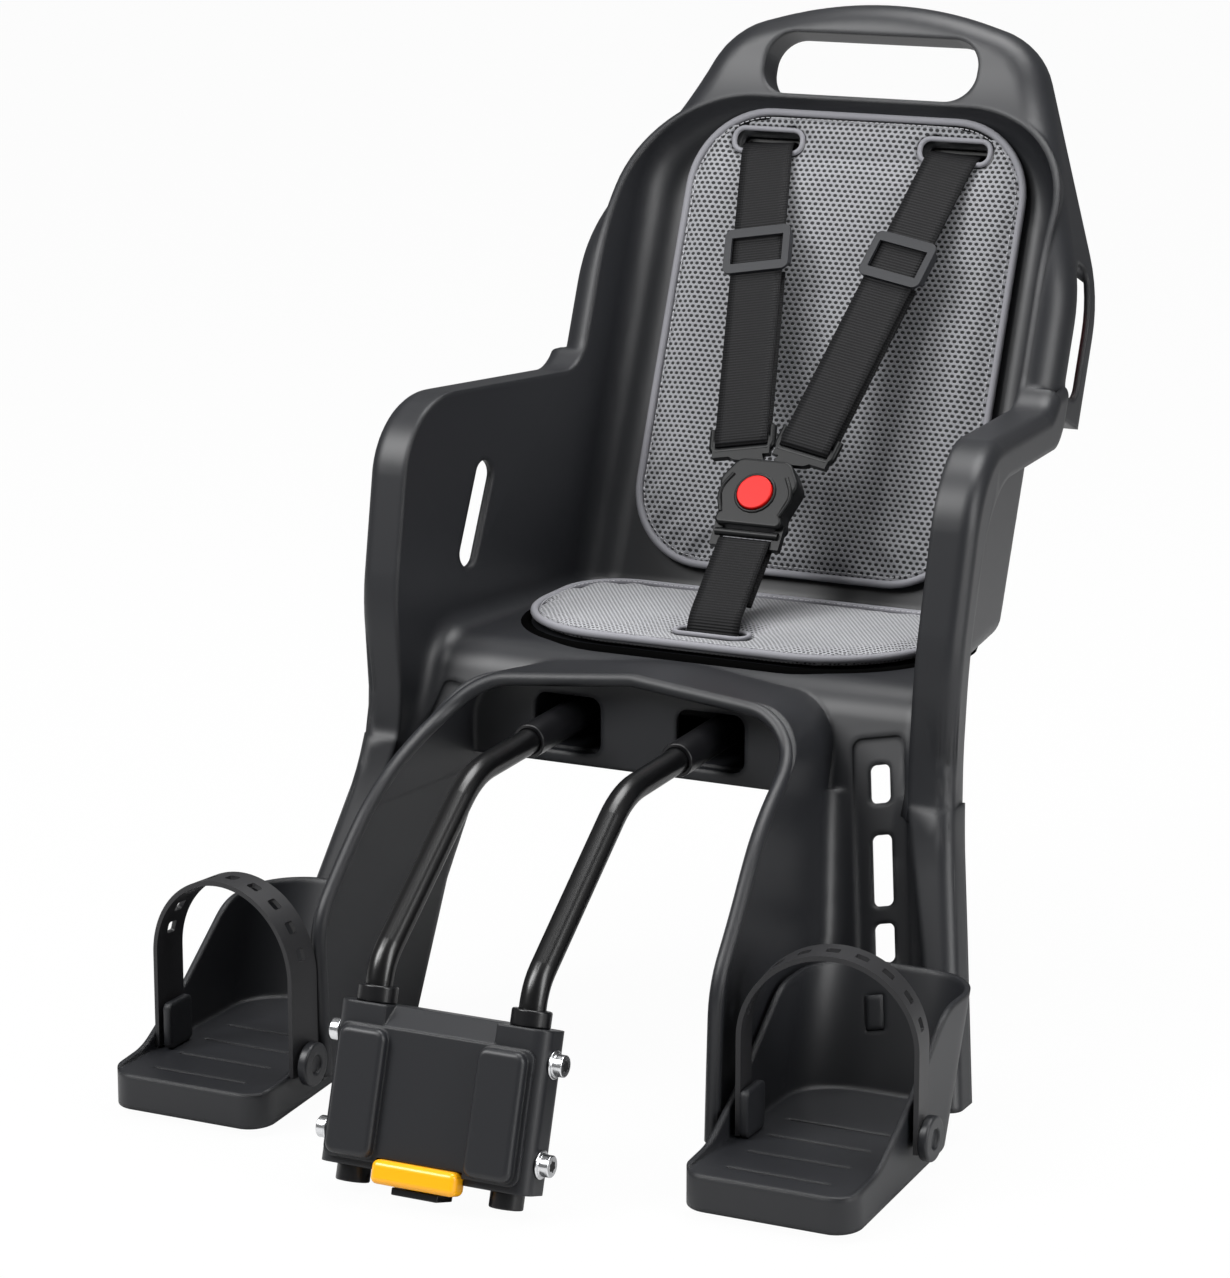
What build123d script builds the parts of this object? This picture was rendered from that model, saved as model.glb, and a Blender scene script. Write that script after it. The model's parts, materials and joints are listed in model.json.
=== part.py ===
# Rear child seat for a bicycle: a moulded seat shell with pads, a harness and two adjustable footrests,
# carried by a bent steel bar whose block hangs on a clamp round the bicycle's seat tube.
#
# Frame: X to the right as seen from in front of the seat, Y to the rear of the bicycle, Z up.
# The origin is on the axis of the seat tube, at the middle of the clamp. All sizes are millimetres and degrees.
import os
from math import atan2, cos, radians, sin, tan

from build123d import *

os.makedirs("parts", exist_ok=True)

# Walls and clearances
wall = 4.0
rest_gap = 0.3
pin_gap = 0.05

# Seat bucket: the hollow that holds the child
back_lean = 22.0
back_foot_y = 455.0
back_foot_z = 211.0
recess_half_width = 148.0
recess_top = 326.0
recess_corner = 72.0
recess_flare = 8.0
bucket_cove = 26.0
pan_cove = 13.0
bucket_reach = 250.0
pan_top = 200.0

# Rim of the back, measured along the lean and ahead of the back panel
back_half_width = 177.0
shoulder_up = 214.0
crown_half_width = 112.0
crown_side_above_recess = 53.0
crown_peak_above_recess = 86.0
shoulder_round = 150.0
crown_corner_round = 55.0
crown_round = 265.0
rim_skirt = 9.0
rim_round = 20.0
rim_round_start = 20.0
crest_low = 52.0
crest_low_end = 225.0
crest_high = 14.0
crest_high_start = 335.0

# Carrying handle
handle_half_width = 77.0
handle_above_recess = 5.0
handle_height = 44.0
handle_round = 20.0

# Side wings
wing_front_foot = (237.0, 130.0)
wing_front_knee = (234.0, 228.0)
wing_front_top_y = 262.0
wing_top = 346.0
wing_front_rise = 9.0
wing_corner_round = 58.0
wing_knee_round = 150.0
neck_round = 28.0
wing_flange = 28.0
wing_lip = 26.0
wing_edge_round = 9.0
wing_skin = 0.25
wing_rear_y = 492.0
wing_slot_y = 326.0
wing_slot_z = 270.0
wing_slot_length = 72.0
wing_slot_width = 19.0
wing_slot_lean = 25.0

# Front apron between the legs
arch_front_y = 40.0
arch_rear_y = 310.0
arch_front_peak = 226.0
arch_rear_peak = 197.0
arch_shoulder_drop = 11.0
arch_foot = 132.0
arch_corner_round = 34.0
apron_y = 222.0
apron_low = 142.0
window_pitch = 98.0
window_centre_z = 168.0
window_width = 46.0
window_height = 37.0
window_round = 8.0

# Trough under the pan that boxes in the rods
trough_half_width = 78.0
trough_low = 147.0
trough_rear_y = 424.0

# Leg guards: inner wall, back wall and outer rim at three heights
leg_levels = (140.0, 60.0, -25.0)
leg_corner_round = 12.0
leg_inner_x = (116.0, 131.0, 136.0)
leg_inner_front_x = (142.0, 137.0, 133.0)
leg_outer_x = (173.0, 199.0, 222.0)
leg_rim_x = (200.5, 219.0, 238.0)
leg_back_foot_y = 190.0
leg_back_rise = 0.43
leg_front_y = 20.0
leg_rim_ahead = 14.0
leg_rim_lip = 24.0
guard_edge = ((220.0, 214.0), (186.0, 176.0), (118.0, 146.0), (50.0, 74.0), (52.0, -60.0))
guard_edge_round = (60.0, 160.0, 45.0)
pan_roll_round = 30.0

# Slotted strip down the back of each leg
strip_foot_x = 182.0
strip_splay = 0.23
strip_width = 34.0
strip_depth = 1.5
strip_round = 6.0
strip_low_z = -15.0
strip_high_z = 172.0
slot_heights = (146.0, 98.0, 58.0, 18.0)
slot_lengths = (24.0, 44.0, 24.0, 24.0)
slot_width = 13.0
slot_round = 4.0

# Side latch of the back: a lever on a pin, seen through a window in the rim
latch_window_low = 140.0
latch_window_high = 228.0
latch_window_ahead = 15.0
latch_window_width = 26.0
latch_window_round = 10.0
latch_inner_x = 156.0
latch_thick = 7.0
latch_width = 15.0
latch_top = 202.0
latch_hub_radius = 7.0
latch_pin_radius = 2.5
latch_pin_up = 154.0
latch_pin_ahead = 12.0
latch_pin_seat_x = 152.0
latch_pin_head_radius = 4.0
latch_pin_head = 1.6

# Pads
pad_thick = 9.0
back_pad_half_width = 122.0
back_pad_low = 6.0
back_pad_top_gap = 4.0
back_pad_round = 56.0
seat_pad_front_y = 294.0
seat_pad_rear_y = 440.0
seat_pad_half_width = 142.0
seat_pad_front_round = 78.0
seat_pad_rear_round = 40.0

# Harness, which lies in a plane of its own
harness_y = 397.0
harness_z = 284.0
harness_lean = 38.0
web_width = 36.0
web_thick = 2.0
strap_slot_x = 67.6
strap_slot_drop = 26.0
strap_slot_width = 42.0
strap_slot_height = 8.0
strap_slot_round = 3.0
pad_slot_margin = 4.0
retainer_length = 52.0
retainer_height = 14.0
retainer_thick = 4.0
crotch_slot_y = 329.0
crotch_bend_round = 6.0
tongue_x = 23.0
tongue_up = 40.0
tongue_bar_radius = 2.5
tongue_rail = 1.5
tongue_window = 8.0
tongue_frame = 12.0
tongue_stem = (3.0, 25.0)
tongue_neck_half_width = 14.0
buckle_outline = ((18.0, 25.0), (28.0, 9.0), (21.5, -12.0), (25.0, -23.0))
buckle_outline_round = (9.0, 9.0, 9.0, 4.0)
buckle_thick = 15.0
buckle_edge_round = 2.0
buckle_rail = 6.0
buckle_bar_up = -34.0
button_radius = 12.0
button_proud = 2.5
button_depth = 6.0
adjuster_width = 46.0
adjuster_height = 34.0
adjuster_thick = 7.0
adjuster_round = 5.0
adjuster_bar = 7.0
adjuster_place = 0.62
spring_wire = 0.7
spring_turns = 2.5
button_spring_radius = 6.0
button_spring_height = 8.0

# Block and seat tube clamp, in a frame that leans with the seat tube
tube_lean = 17.5
tube_radius = 15.9
clamp_half_width = 40.0
clamp_half_height = 34.0
clamp_split = 1.5
saddle_front = 22.6
jaw_rear = 24.0
clamp_bolt_x = 30.0
clamp_bolt_up = 22.0
clamp_bolt_radius = 3.0
clamp_bolt_length = 42.0
clamp_round = 8.0
clamp_head_radius = 5.0
clamp_head_height = 6.0
block_half_width = 68.0
block_front = 52.0
block_rear = 23.0
block_low = -44.0
block_high = 50.0
block_round = 9.0
cover_half_width = 63.0
cover_thick = 3.0
cover_rib = 6.5
cover_low = -40.0
cover_high = 38.0
cover_round = 6.0
cover_rib_inner = 30.0
cover_rib_outer = 60.0
cover_rib_inset = 2.0
cover_edge_round = 3.5
block_slope = 12.0
block_slope_half_width = 36.0
rail_neck = 11.0
rail_head = 19.0
rail_neck_depth = 6.0
rail_head_depth = 7.0
rail_top = 26.0
side_bolt_heights = (31.0, -26.0)
side_bolt_radius = 4.0
side_bolt_length = 9.5
side_bolt_head_radius = 6.5
side_bolt_head_height = 6.0
side_bolt_washer_radius = 8.5
side_bolt_washer_thick = 1.6
release_half_width = 27.5
release_low = -51.0
release_height = 14.0
release_front = 62.0
release_rear = 47.0
release_round = 4.0
release_travel = 3.0
release_pocket = 40.0
release_spring_radius = 2.6
release_spring_up = -40.4
latch_tab_half_width = 15.0
latch_tab_front = 56.0
latch_tab_web = 36.5
latch_tab_thick = 4.4
latch_tab_low = -56.0

# Carrier bar
bar_radius = 8.0
bar_pitch = 100.0
bar_ahead = 38.0
bar_foot = -50.0
bar_knee_y = -14.0
bar_shin_end_y = 98.0
bar_shin_end_z = 166.0
bar_rise = 2.0
bar_rear_y = 408.0
bar_knee_round = 34.0
bar_bend_round = 60.0
bar_turn_round = 36.0
collar_radius = 11.8
collar_height = 10.0
cap_floor = 4.0
cap_radius = 10.0
sleeve_front_y = 171.0
sleeve_length = 96.0
sleeve_radius = 10.6
saddle_places = (309.0, 353.0)
bar_saddle_half_length = 70.0
bar_saddle_depth = 24.0
bar_saddle_low = 13.0
saddle_screw_radius = 2.5
saddle_screw_head = 4.5
saddle_screw_head_height = 3.0
saddle_screw_x = 25.0
saddle_screw_bite = 3.0
bar_turn_lead = 4.0

# Footrests
foot_inner_x = 137.0
foot_outer_x = 245.0
foot_front_y = -9.0
foot_sole_z = -17.8
foot_skirt_front_z = -40.0
foot_skirt_rear_z = -28.0
foot_side_edge = ((30.0, -14.0), (80.0, 15.0), (130.0, 53.0))
foot_side_round = 40.0
foot_wall = 3.5
foot_front_round = 16.0
foot_heel_round = 38.0
foot_rim_gap = 3.0
foot_rail_gap = 1.0
foot_rail_low_z = -8.0
foot_rail_high_z = 42.0
groove_width = 2.0
groove_depth = 1.0
groove_half_length = 32.0
groove_start_y = 10.0
groove_pitch = 29.0
groove_count = 4
hook_width = 11.0
hook_length = 21.0
hook_height_z = 18.0
hook_reach = 3.0
hook_proud = 1.0
foot_strap_width = 24.0
foot_strap_thick = 3.0
foot_strap_top = 98.0
foot_strap_low = -16.0
foot_strap_hole = (8.0, 7.0)
foot_strap_hole_round = 1.5
foot_strap_hole_pitch = 17.5
foot_strap_holes = 9
disc_radius = 13.5
disc_thick = 6.0
disc_z = -9.0
disc_edge_round = 1.5
disc_socket_radius = 6.0
disc_socket_depth = 2.0
anchor_width = 26.0
anchor_thick = 5.0
anchor_low = -17.0
anchor_high = 12.0
foot_disc_y = {"left": 36.0, "right": 82.0}
foot_anchor_y = {"left": 52.0, "right": 66.0}

# Planes of the seat back, the harness and the seat tube
back_up = Vector(0, sin(radians(back_lean)), cos(radians(back_lean)))
back_ahead = Vector(0, -cos(radians(back_lean)), sin(radians(back_lean)))
back_foot = Vector(0, back_foot_y, back_foot_z)
back_plane = Plane(origin=back_foot, x_dir=(1, 0, 0), z_dir=back_ahead)
harness_plane = Plane(
    origin=(0, harness_y, harness_z),
    x_dir=(1, 0, 0),
    z_dir=(0, -cos(radians(harness_lean)), sin(radians(harness_lean))),
)
tube_up = Vector(0, sin(radians(tube_lean)), cos(radians(tube_lean)))
tube_rear = Vector(0, cos(radians(tube_lean)), -sin(radians(tube_lean)))
tube_plane = Plane(origin=(0, 0, 0), x_dir=(1, 0, 0), z_dir=tube_up)
side_plane = Plane(origin=back_foot, x_dir=back_ahead, z_dir=(-1, 0, 0))
bar_along = Vector(0, cos(radians(bar_rise)), sin(radians(bar_rise)))
bar_run_start = Vector(0, bar_shin_end_y, bar_shin_end_z)
bar_turn_y = bar_rear_y - bar_turn_round - bar_turn_lead
bar_turn_start = bar_run_start + bar_along * ((bar_turn_y - bar_shin_end_y) / bar_along.Y)
pan_low = pan_top - wall
handle_low = recess_top + handle_above_recess
handle_high = handle_low + handle_height
crown_side_up = recess_top + crown_side_above_recess
crown_peak_up = recess_top + crown_peak_above_recess
back_pad_high = recess_top - back_pad_top_gap
strap_slot_up = recess_top - strap_slot_drop
far = 400.0


def save(part, name):
    part.label = name
    export_step(part, f"parts/{name}.step")


def back_point(ahead, up):
    """Y and Z of a point given ahead of the back panel and up along the lean."""
    place = back_foot + back_ahead * ahead + back_up * up
    return (place.Y, place.Z)


def leg_back_y(height):
    return leg_back_foot_y + leg_back_rise * height


def under_floor(grow):
    """Everything under the pan and behind the backs of the legs, which the pan's rounded front turns into."""
    floor = pan_top - grow
    with BuildPart() as region:
        with BuildSketch(Plane.YZ):
            with BuildLine():
                roll = FilletPolyline(
                    (2 * far, floor),
                    (leg_back_y(floor) + grow, floor),
                    (leg_back_y(-far) + grow, -far),
                    radius=pan_roll_round - grow,
                )
                Polyline(roll @ 1, (2 * far, -far), roll @ 0)
            make_face()
        extrude(amount=far, both=True)
    return region.part


def bucket_volume(grow):
    """The space of the seat bucket, grown outwards by a wall thickness."""
    low = -recess_top
    high = recess_top + grow
    with BuildPart() as volume:
        with BuildSketch(back_plane.offset(-grow)) as outline:
            with Locations((0, (low + high) / 2)):
                Rectangle(2 * (recess_half_width + grow), high - low)
            fillet(outline.vertices().group_by(Axis.Y)[-1], recess_corner + grow)
        extrude(amount=bucket_reach + grow, taper=-recess_flare)
        add(under_floor(grow), mode=Mode.SUBTRACT)
        panel = volume.faces().sort_by(Axis(back_foot, back_ahead))[0]
        fillet(panel.edges().sort_by(Axis.Z)[1:], bucket_cove + grow)
        pan = volume.faces().filter_by(Plane.XY)[0]
        fillet(pan.edges().sort_by(Axis.Y)[-1], pan_cove + grow)
    return volume.part


def side_region(inset):
    """Everything behind the rim line of the wings and the back, as seen from the side."""
    top = wing_top - inset
    low_ahead = crest_low - inset
    high_ahead = crest_high - inset
    neck_up = (top - back_foot_z - low_ahead * back_ahead.Z) / back_up.Z
    line = [
        (wing_front_foot[0] + inset, wing_front_foot[1]),
        (wing_front_knee[0] + inset, wing_front_knee[1]),
        (wing_front_top_y + inset, top + wing_front_rise),
        back_point(low_ahead, neck_up),
        back_point(low_ahead, crest_low_end),
        back_point(high_ahead, crest_high_start),
        back_point(high_ahead, crown_peak_up + far / 4),
        (2 * far, 2 * far),
        (2 * far, wing_front_foot[1]),
    ]
    rounds = [0, wing_knee_round, wing_corner_round, neck_round, shoulder_round, shoulder_round, 0, 0, 0]
    with BuildPart() as region:
        with BuildSketch(Plane.YZ):
            with BuildLine():
                FilletPolyline(*line, radius=rounds, close=True)
            make_face()
        extrude(amount=far, both=True)
    return region.part


def neck_up_from_foot():
    return (wing_top - back_foot_z - crest_low * back_ahead.Z) / back_up.Z


def back_block(inset, rear):
    """The arched outline of the back, drawn on the back panel and carried from the rear to the front."""
    low = neck_up_from_foot() + inset
    line = [
        (-back_half_width, low),
        (-back_half_width, shoulder_up),
        (-crown_half_width, crown_side_up),
        (0, crown_peak_up),
        (crown_half_width, crown_side_up),
        (back_half_width, shoulder_up),
        (back_half_width, low),
    ]
    rounds = [0, shoulder_round, crown_corner_round, crown_round, crown_corner_round, shoulder_round, 0]
    with BuildPart() as block:
        with BuildSketch(back_plane.offset(-rear - rim_round)):
            with BuildLine():
                FilletPolyline(*line, radius=rounds, close=True)
            make_face()
            if inset:
                offset(amount=-inset)
        extrude(amount=rear + rim_round + 2 * crest_low)
        add(side_region(inset), mode=Mode.INTERSECT)
        crest = [
            edge
            for edge in block.edges()
            if abs(edge.tangent_at(0.5).X) < 0.99
            and (edge.center() - back_foot).dot(back_ahead) > crest_high - 2 * inset - wall
            and (edge.center() - back_foot).dot(back_up) > low + rim_round_start
        ]
        fillet(ShapeList(crest), rim_round - inset)
        with BuildSketch(back_plane.offset(-rear)):
            Rectangle(4 * far, 4 * far)
        extrude(amount=-far, mode=Mode.SUBTRACT)
    return block.part


def handle_hole(grow):
    with BuildPart() as hole:
        with BuildSketch(back_plane.offset(-far / 4)):
            with Locations((0, (handle_low + handle_high) / 2)):
                RectangleRounded(
                    2 * (handle_half_width + grow), handle_high - handle_low + 2 * grow, handle_round + grow
                )
        extrude(amount=far / 2)
    return hole.part


def leg_plane(side):
    """Plane of the back wall of one leg, with its Y along the slotted strip."""
    along = Vector(-side * strip_splay, leg_back_rise, 1).normalized()
    ahead = Vector(0, -1, leg_back_rise).normalized()
    foot = Vector(side * strip_foot_x, leg_back_foot_y, 0)
    return Plane(origin=foot, x_dir=along.cross(ahead), z_dir=ahead)


def guard_cut():
    """Space in front of the sloping edge of the arch and the inner guards."""
    with BuildPart() as space:
        with BuildSketch(Plane.YZ):
            with BuildLine():
                edge = FilletPolyline(*guard_edge, radius=guard_edge_round)
                Polyline(edge @ 1, (-far, guard_edge[-1][1]), (-far, far), (guard_edge[0][0], far), edge @ 0)
            make_face()
        extrude(amount=far, both=True)
    return space.part


def leg_wall():
    """Channel of the right leg: inner guard, back wall and outer rim with its turned lip."""
    with BuildPart() as leg:
        for height, inner, front, outer, rim in zip(
            leg_levels, leg_inner_x, leg_inner_front_x, leg_outer_x, leg_rim_x
        ):
            back = leg_back_y(height)
            lip = back - leg_rim_ahead
            with BuildSketch(Plane.XY.offset(height)):
                with BuildLine():
                    inside = FilletPolyline(
                        (front, leg_front_y),
                        (inner, back),
                        (outer, back),
                        (outer, lip),
                        (rim, lip),
                        (rim, lip + leg_rim_lip),
                        radius=[leg_corner_round, leg_corner_round, 0, wing_edge_round],
                    )
                    outside = FilletPolyline(
                        (front - wall, leg_front_y),
                        (inner - wall, back + wall),
                        (outer + wall, back + wall),
                        (outer + wall, lip + wall),
                        (rim - wall, lip + wall),
                        (rim - wall, lip + leg_rim_lip),
                        radius=[leg_corner_round + wall, leg_corner_round - wall, 0, wing_edge_round - wall],
                    )
                    Line(inside @ 0, outside @ 0)
                    Line(inside @ 1, outside @ 1)
                make_face()
        loft(ruled=True)
        add(guard_cut(), mode=Mode.SUBTRACT)
    return leg.part


def wing_plane():
    """Plane of the right wing's inner face, with X to the rear and Y up."""
    flare = tan(radians(recess_flare))
    outward = (Vector(1, 0, 0) - back_ahead * flare).normalized()
    rearward = Vector(0, 0, 1).cross(outward).normalized()
    return Plane(origin=(recess_half_width, back_foot_y, back_foot_z), x_dir=rearward, z_dir=outward)


def wing_slab(start, thick, inset):
    """Slab of the right wing between two distances from its inner face, behind its rim line."""
    low = wing_front_foot[1] - back_foot_z - wall
    high = wing_top + wing_front_rise - back_foot_z + wall
    front = wing_front_knee[0] - back_foot_y - 2 * wall
    rear = wing_rear_y - back_foot_y
    with BuildPart() as slab:
        with BuildSketch(wing_plane().offset(start)):
            with Locations(((front + rear) / 2, (low + high) / 2)):
                Rectangle(rear - front, high - low)
        extrude(amount=thick)
        add(side_region(inset), mode=Mode.INTERSECT)
    return slab.part


def wing_rim():
    """Flange along the front and top of the right wing, with its lip turned back and down."""
    with BuildPart() as rim:
        add(wing_slab(wing_skin, wing_flange, 0))
        outer = rim.faces().sort_by(Axis((0, 0, 0), wing_plane().z_dir))[-1]
        edges = [
            edge
            for edge in outer.edges()
            if edge.center().Y < wing_rear_y - wall and edge.center().Z > wing_front_foot[1] + wall
        ]
        fillet(ShapeList(edges), wing_edge_round)
        add(wing_slab(wing_skin + wall, wing_flange - 2 * wall, wall), mode=Mode.SUBTRACT)
        add(wing_slab(0, 2 * wing_flange, wing_lip), mode=Mode.SUBTRACT)
    return rim.part


def guard_x(place):
    """Outer face of the inner guard at the top of the leg, for a distance to the rear."""
    slope = (leg_inner_x[0] - leg_inner_front_x[0]) / (leg_back_y(leg_levels[0]) - leg_front_y)
    return leg_inner_front_x[0] + slope * (place - leg_front_y)


def arch_volume(inset):
    """Space under the arched front of the pan, narrowing to the rear, where it sinks into the pan."""
    low = arch_foot - far / 4
    with BuildPart() as volume:
        for place, peak in ((arch_front_y, arch_front_peak), (arch_rear_y, arch_rear_peak)):
            half = guard_x(place)
            with BuildSketch(Plane.XZ.offset(-place)):
                with BuildLine():
                    FilletPolyline(
                        (-half, low),
                        (-half, peak - arch_shoulder_drop),
                        (0, peak),
                        (half, peak - arch_shoulder_drop),
                        (half, low),
                        radius=[0, arch_corner_round, crown_round, arch_corner_round, 0],
                        close=True,
                    )
                make_face()
                if inset:
                    offset(amount=-inset)
        loft(ruled=True)
    return volume.part


def both(part):
    return [part, part.mirror(Plane.YZ)]


def strip_length(height):
    """Distance along the slotted strip for a height above the clamp."""
    return height * Vector(strip_splay, leg_back_rise, 1).length


def strip_cut():
    """Shallow track down the back of the right leg, with the slots through it."""
    with BuildPart() as cut:
        with BuildSketch(leg_plane(1).offset(strip_depth)):
            with Locations((0, strip_length((strip_low_z + strip_high_z) / 2))):
                RectangleRounded(strip_width, strip_length(strip_high_z - strip_low_z), strip_round)
        extrude(amount=-2 * strip_depth)
        with BuildSketch(leg_plane(1).offset(strip_depth)):
            for height, length in zip(slot_heights, slot_lengths):
                with Locations((0, strip_length(height))):
                    RectangleRounded(slot_width, length, slot_round)
        extrude(amount=-strip_depth - 2 * wall)
    return cut.part


def wing_slot():
    with BuildPart() as slot:
        with BuildSketch(Plane.YZ.offset(recess_half_width)):
            with Locations((wing_slot_y, wing_slot_z)):
                SlotOverall(wing_slot_length, wing_slot_width, rotation=90 - wing_slot_lean)
        extrude(amount=far / 4)
    return slot.part


def strap_slots(margin):
    """Openings for the two shoulder straps through the back pad and the back panel."""
    with BuildPart() as slots:
        with BuildSketch(back_plane.offset(pad_thick + wall)):
            with Locations(*[(side * strap_slot_x, strap_slot_up) for side in (-1, 1)]):
                RectangleRounded(
                    strap_slot_width + 2 * margin, strap_slot_height + 2 * margin, strap_slot_round + margin
                )
        extrude(amount=-(pad_thick + 3 * wall))
    return slots.part


def crotch_slot(margin):
    """Opening for the crotch strap through the seat pad and the pan."""
    with BuildPart() as slot:
        with BuildSketch(Plane.XY.offset(pan_top + pad_thick + wall)):
            with Locations((0, crotch_slot_y)):
                RectangleRounded(
                    strap_slot_width + 2 * margin, strap_slot_height + 2 * margin, strap_slot_round + margin
                )
        extrude(amount=-(pad_thick + 3 * wall))
    return slot.part


def latch_window():
    """Window in the right side of the rim, in front of the latch lever."""
    with BuildPart() as window:
        with BuildSketch(side_plane.offset(-back_half_width - wall)):
            with Locations((latch_window_ahead, (latch_window_low + latch_window_high) / 2)):
                RectangleRounded(
                    latch_window_width, latch_window_high - latch_window_low, latch_window_round
                )
        extrude(amount=3 * wall)
    return window.part


def latch_pin_shank():
    with BuildPart() as shank:
        with BuildSketch(side_plane.offset(-latch_pin_seat_x)):
            with Locations((latch_pin_ahead, latch_pin_up)):
                Circle(latch_pin_radius)
        extrude(amount=latch_pin_seat_x - latch_inner_x - latch_thick - 2 * rest_gap)
    return shank.part


def saddle_screw_shanks(low):
    """Shanks of the screws that hold the bar saddles under the pan, from a height up into the pan."""
    with BuildPart() as shanks:
        with BuildSketch(Plane.XY.offset(low)):
            with Locations(*[(side * saddle_screw_x, place) for side in (-1, 1) for place in saddle_places]):
                Circle(saddle_screw_radius)
        extrude(amount=pan_low + saddle_screw_bite - low)
    return shanks.part


with BuildPart() as shell_mass:
    add(bucket_volume(wall))
    add(side_region(0), mode=Mode.INTERSECT)
    add(back_block(0, rim_skirt))
    add(both(wing_rim()))
    add(bucket_volume(0), mode=Mode.SUBTRACT)
with BuildPart() as rim_hollow:
    add(back_block(wall, rim_skirt + wall))
    add(bucket_volume(wall), mode=Mode.SUBTRACT)
    add(handle_hole(wall), mode=Mode.SUBTRACT)
with BuildPart() as shell_upper:
    add(shell_mass.part)
    add(rim_hollow.part, mode=Mode.SUBTRACT)
    add(handle_hole(0), mode=Mode.SUBTRACT)
    add(arch_volume(wall), mode=Mode.SUBTRACT)
with BuildPart() as front_arch:
    add(arch_volume(0))
    add(arch_volume(wall), mode=Mode.SUBTRACT)
    with BuildSketch(Plane.XY.offset(arch_foot)):
        Rectangle(4 * far, 4 * far)
    extrude(amount=-far, mode=Mode.SUBTRACT)
    add(guard_cut(), mode=Mode.SUBTRACT)
    add(under_floor(wall / 2), mode=Mode.SUBTRACT)
with BuildPart() as apron:
    with BuildSketch(Plane.XZ.offset(-apron_y)):
        with Locations((0, (apron_low + pan_top) / 2)):
            Rectangle(2 * leg_inner_x[0], pan_top - apron_low)
        with Locations(*[(side * window_pitch / 2, window_centre_z) for side in (-1, 1)]):
            RectangleRounded(window_width, window_height, window_round, mode=Mode.SUBTRACT)
    extrude(amount=-wall)
    add(arch_volume(wall / 2), mode=Mode.INTERSECT)
with BuildPart() as trough_space:
    add(under_floor(wall / 2))
    add(arch_volume(wall / 2))
with BuildPart() as trough:
    for inset in (0, wall):
        with BuildSketch(Plane.XY.offset(trough_low + inset)):
            with Locations((0, (apron_y + trough_rear_y) / 2)):
                Rectangle(2 * (trough_half_width - inset), trough_rear_y - apron_y - 2 * inset)
        extrude(amount=pan_top - trough_low, mode=Mode.SUBTRACT if inset else Mode.ADD)
    add(trough_space.part, mode=Mode.INTERSECT)
    with BuildSketch(Plane.XZ.offset(-apron_y)):
        with Locations(*[(side * window_pitch / 2, window_centre_z) for side in (-1, 1)]):
            RectangleRounded(window_width, window_height, window_round)
    extrude(amount=-2 * wall, mode=Mode.SUBTRACT)
with BuildPart() as seat_shell:
    add(shell_upper.part)
    add(both(leg_wall()))
    add(front_arch.part)
    add(apron.part)
    add(trough.part)
    add(both(strip_cut()), mode=Mode.SUBTRACT)
    add(both(wing_slot()), mode=Mode.SUBTRACT)
    add(strap_slots(0), mode=Mode.SUBTRACT)
    add(crotch_slot(0), mode=Mode.SUBTRACT)
    add(both(latch_window()), mode=Mode.SUBTRACT)
    add(both(latch_pin_shank()), mode=Mode.SUBTRACT)
    add(saddle_screw_shanks(pan_low - wall), mode=Mode.SUBTRACT)
save(seat_shell.part, "seat_shell")

# Side latches of the back
with BuildPart() as side_latch:
    with BuildSketch(side_plane.offset(-latch_inner_x)):
        with Locations((latch_pin_ahead, latch_pin_up)):
            Circle(latch_hub_radius)
        with Locations((latch_pin_ahead, (latch_pin_up + latch_top) / 2)):
            Rectangle(latch_width - wall, latch_top - latch_pin_up)
        with Locations((latch_pin_ahead, latch_top - latch_width)):
            RectangleRounded(latch_width, 2 * latch_width, wall)
        with Locations((latch_pin_ahead, latch_pin_up)):
            Circle(latch_pin_radius + pin_gap, mode=Mode.SUBTRACT)
    extrude(amount=-latch_thick)
with BuildPart() as side_latch_pin:
    add(latch_pin_shank())
    with BuildSketch(side_plane.offset(-latch_inner_x - latch_thick - rest_gap)):
        with Locations((latch_pin_ahead, latch_pin_up)):
            Circle(latch_pin_head_radius)
    extrude(amount=-latch_pin_head)
for piece, name in ((side_latch.part, "side_latch"), (side_latch_pin.part, "side_latch_pin")):
    for side, solid in zip(("right", "left"), both(piece)):
        save(solid, f"{name}_{side}")

# Pads, which lie in the bucket
with BuildPart() as back_pad:
    with BuildSketch(back_plane):
        with Locations((0, (back_pad_low + back_pad_high) / 2)):
            RectangleRounded(2 * back_pad_half_width, back_pad_high - back_pad_low, back_pad_round)
    extrude(amount=pad_thick)
    add(bucket_volume(-rest_gap), mode=Mode.INTERSECT)
    add(strap_slots(pad_slot_margin), mode=Mode.SUBTRACT)
save(back_pad.part, "back_pad")
with BuildPart() as seat_pad:
    with BuildSketch(Plane.XY.offset(pan_top)) as seat_pad_outline:
        with Locations((0, (seat_pad_front_y + seat_pad_rear_y) / 2)):
            Rectangle(2 * seat_pad_half_width, seat_pad_rear_y - seat_pad_front_y)
        fillet(seat_pad_outline.vertices().group_by(Axis.Y)[0], seat_pad_front_round)
        fillet(seat_pad_outline.vertices().group_by(Axis.Y)[-1], seat_pad_rear_round)
    extrude(amount=pad_thick)
    add(bucket_volume(-rest_gap), mode=Mode.INTERSECT)
    add(crotch_slot(pad_slot_margin), mode=Mode.SUBTRACT)
save(seat_pad.part, "seat_pad")

# Harness: bars, webbing, adjusters, tongues and buckle
web_loop_inner = tongue_bar_radius + pin_gap
web_bar_depth = web_loop_inner + web_thick / 2
buckle_high = buckle_outline[0][1]


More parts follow.
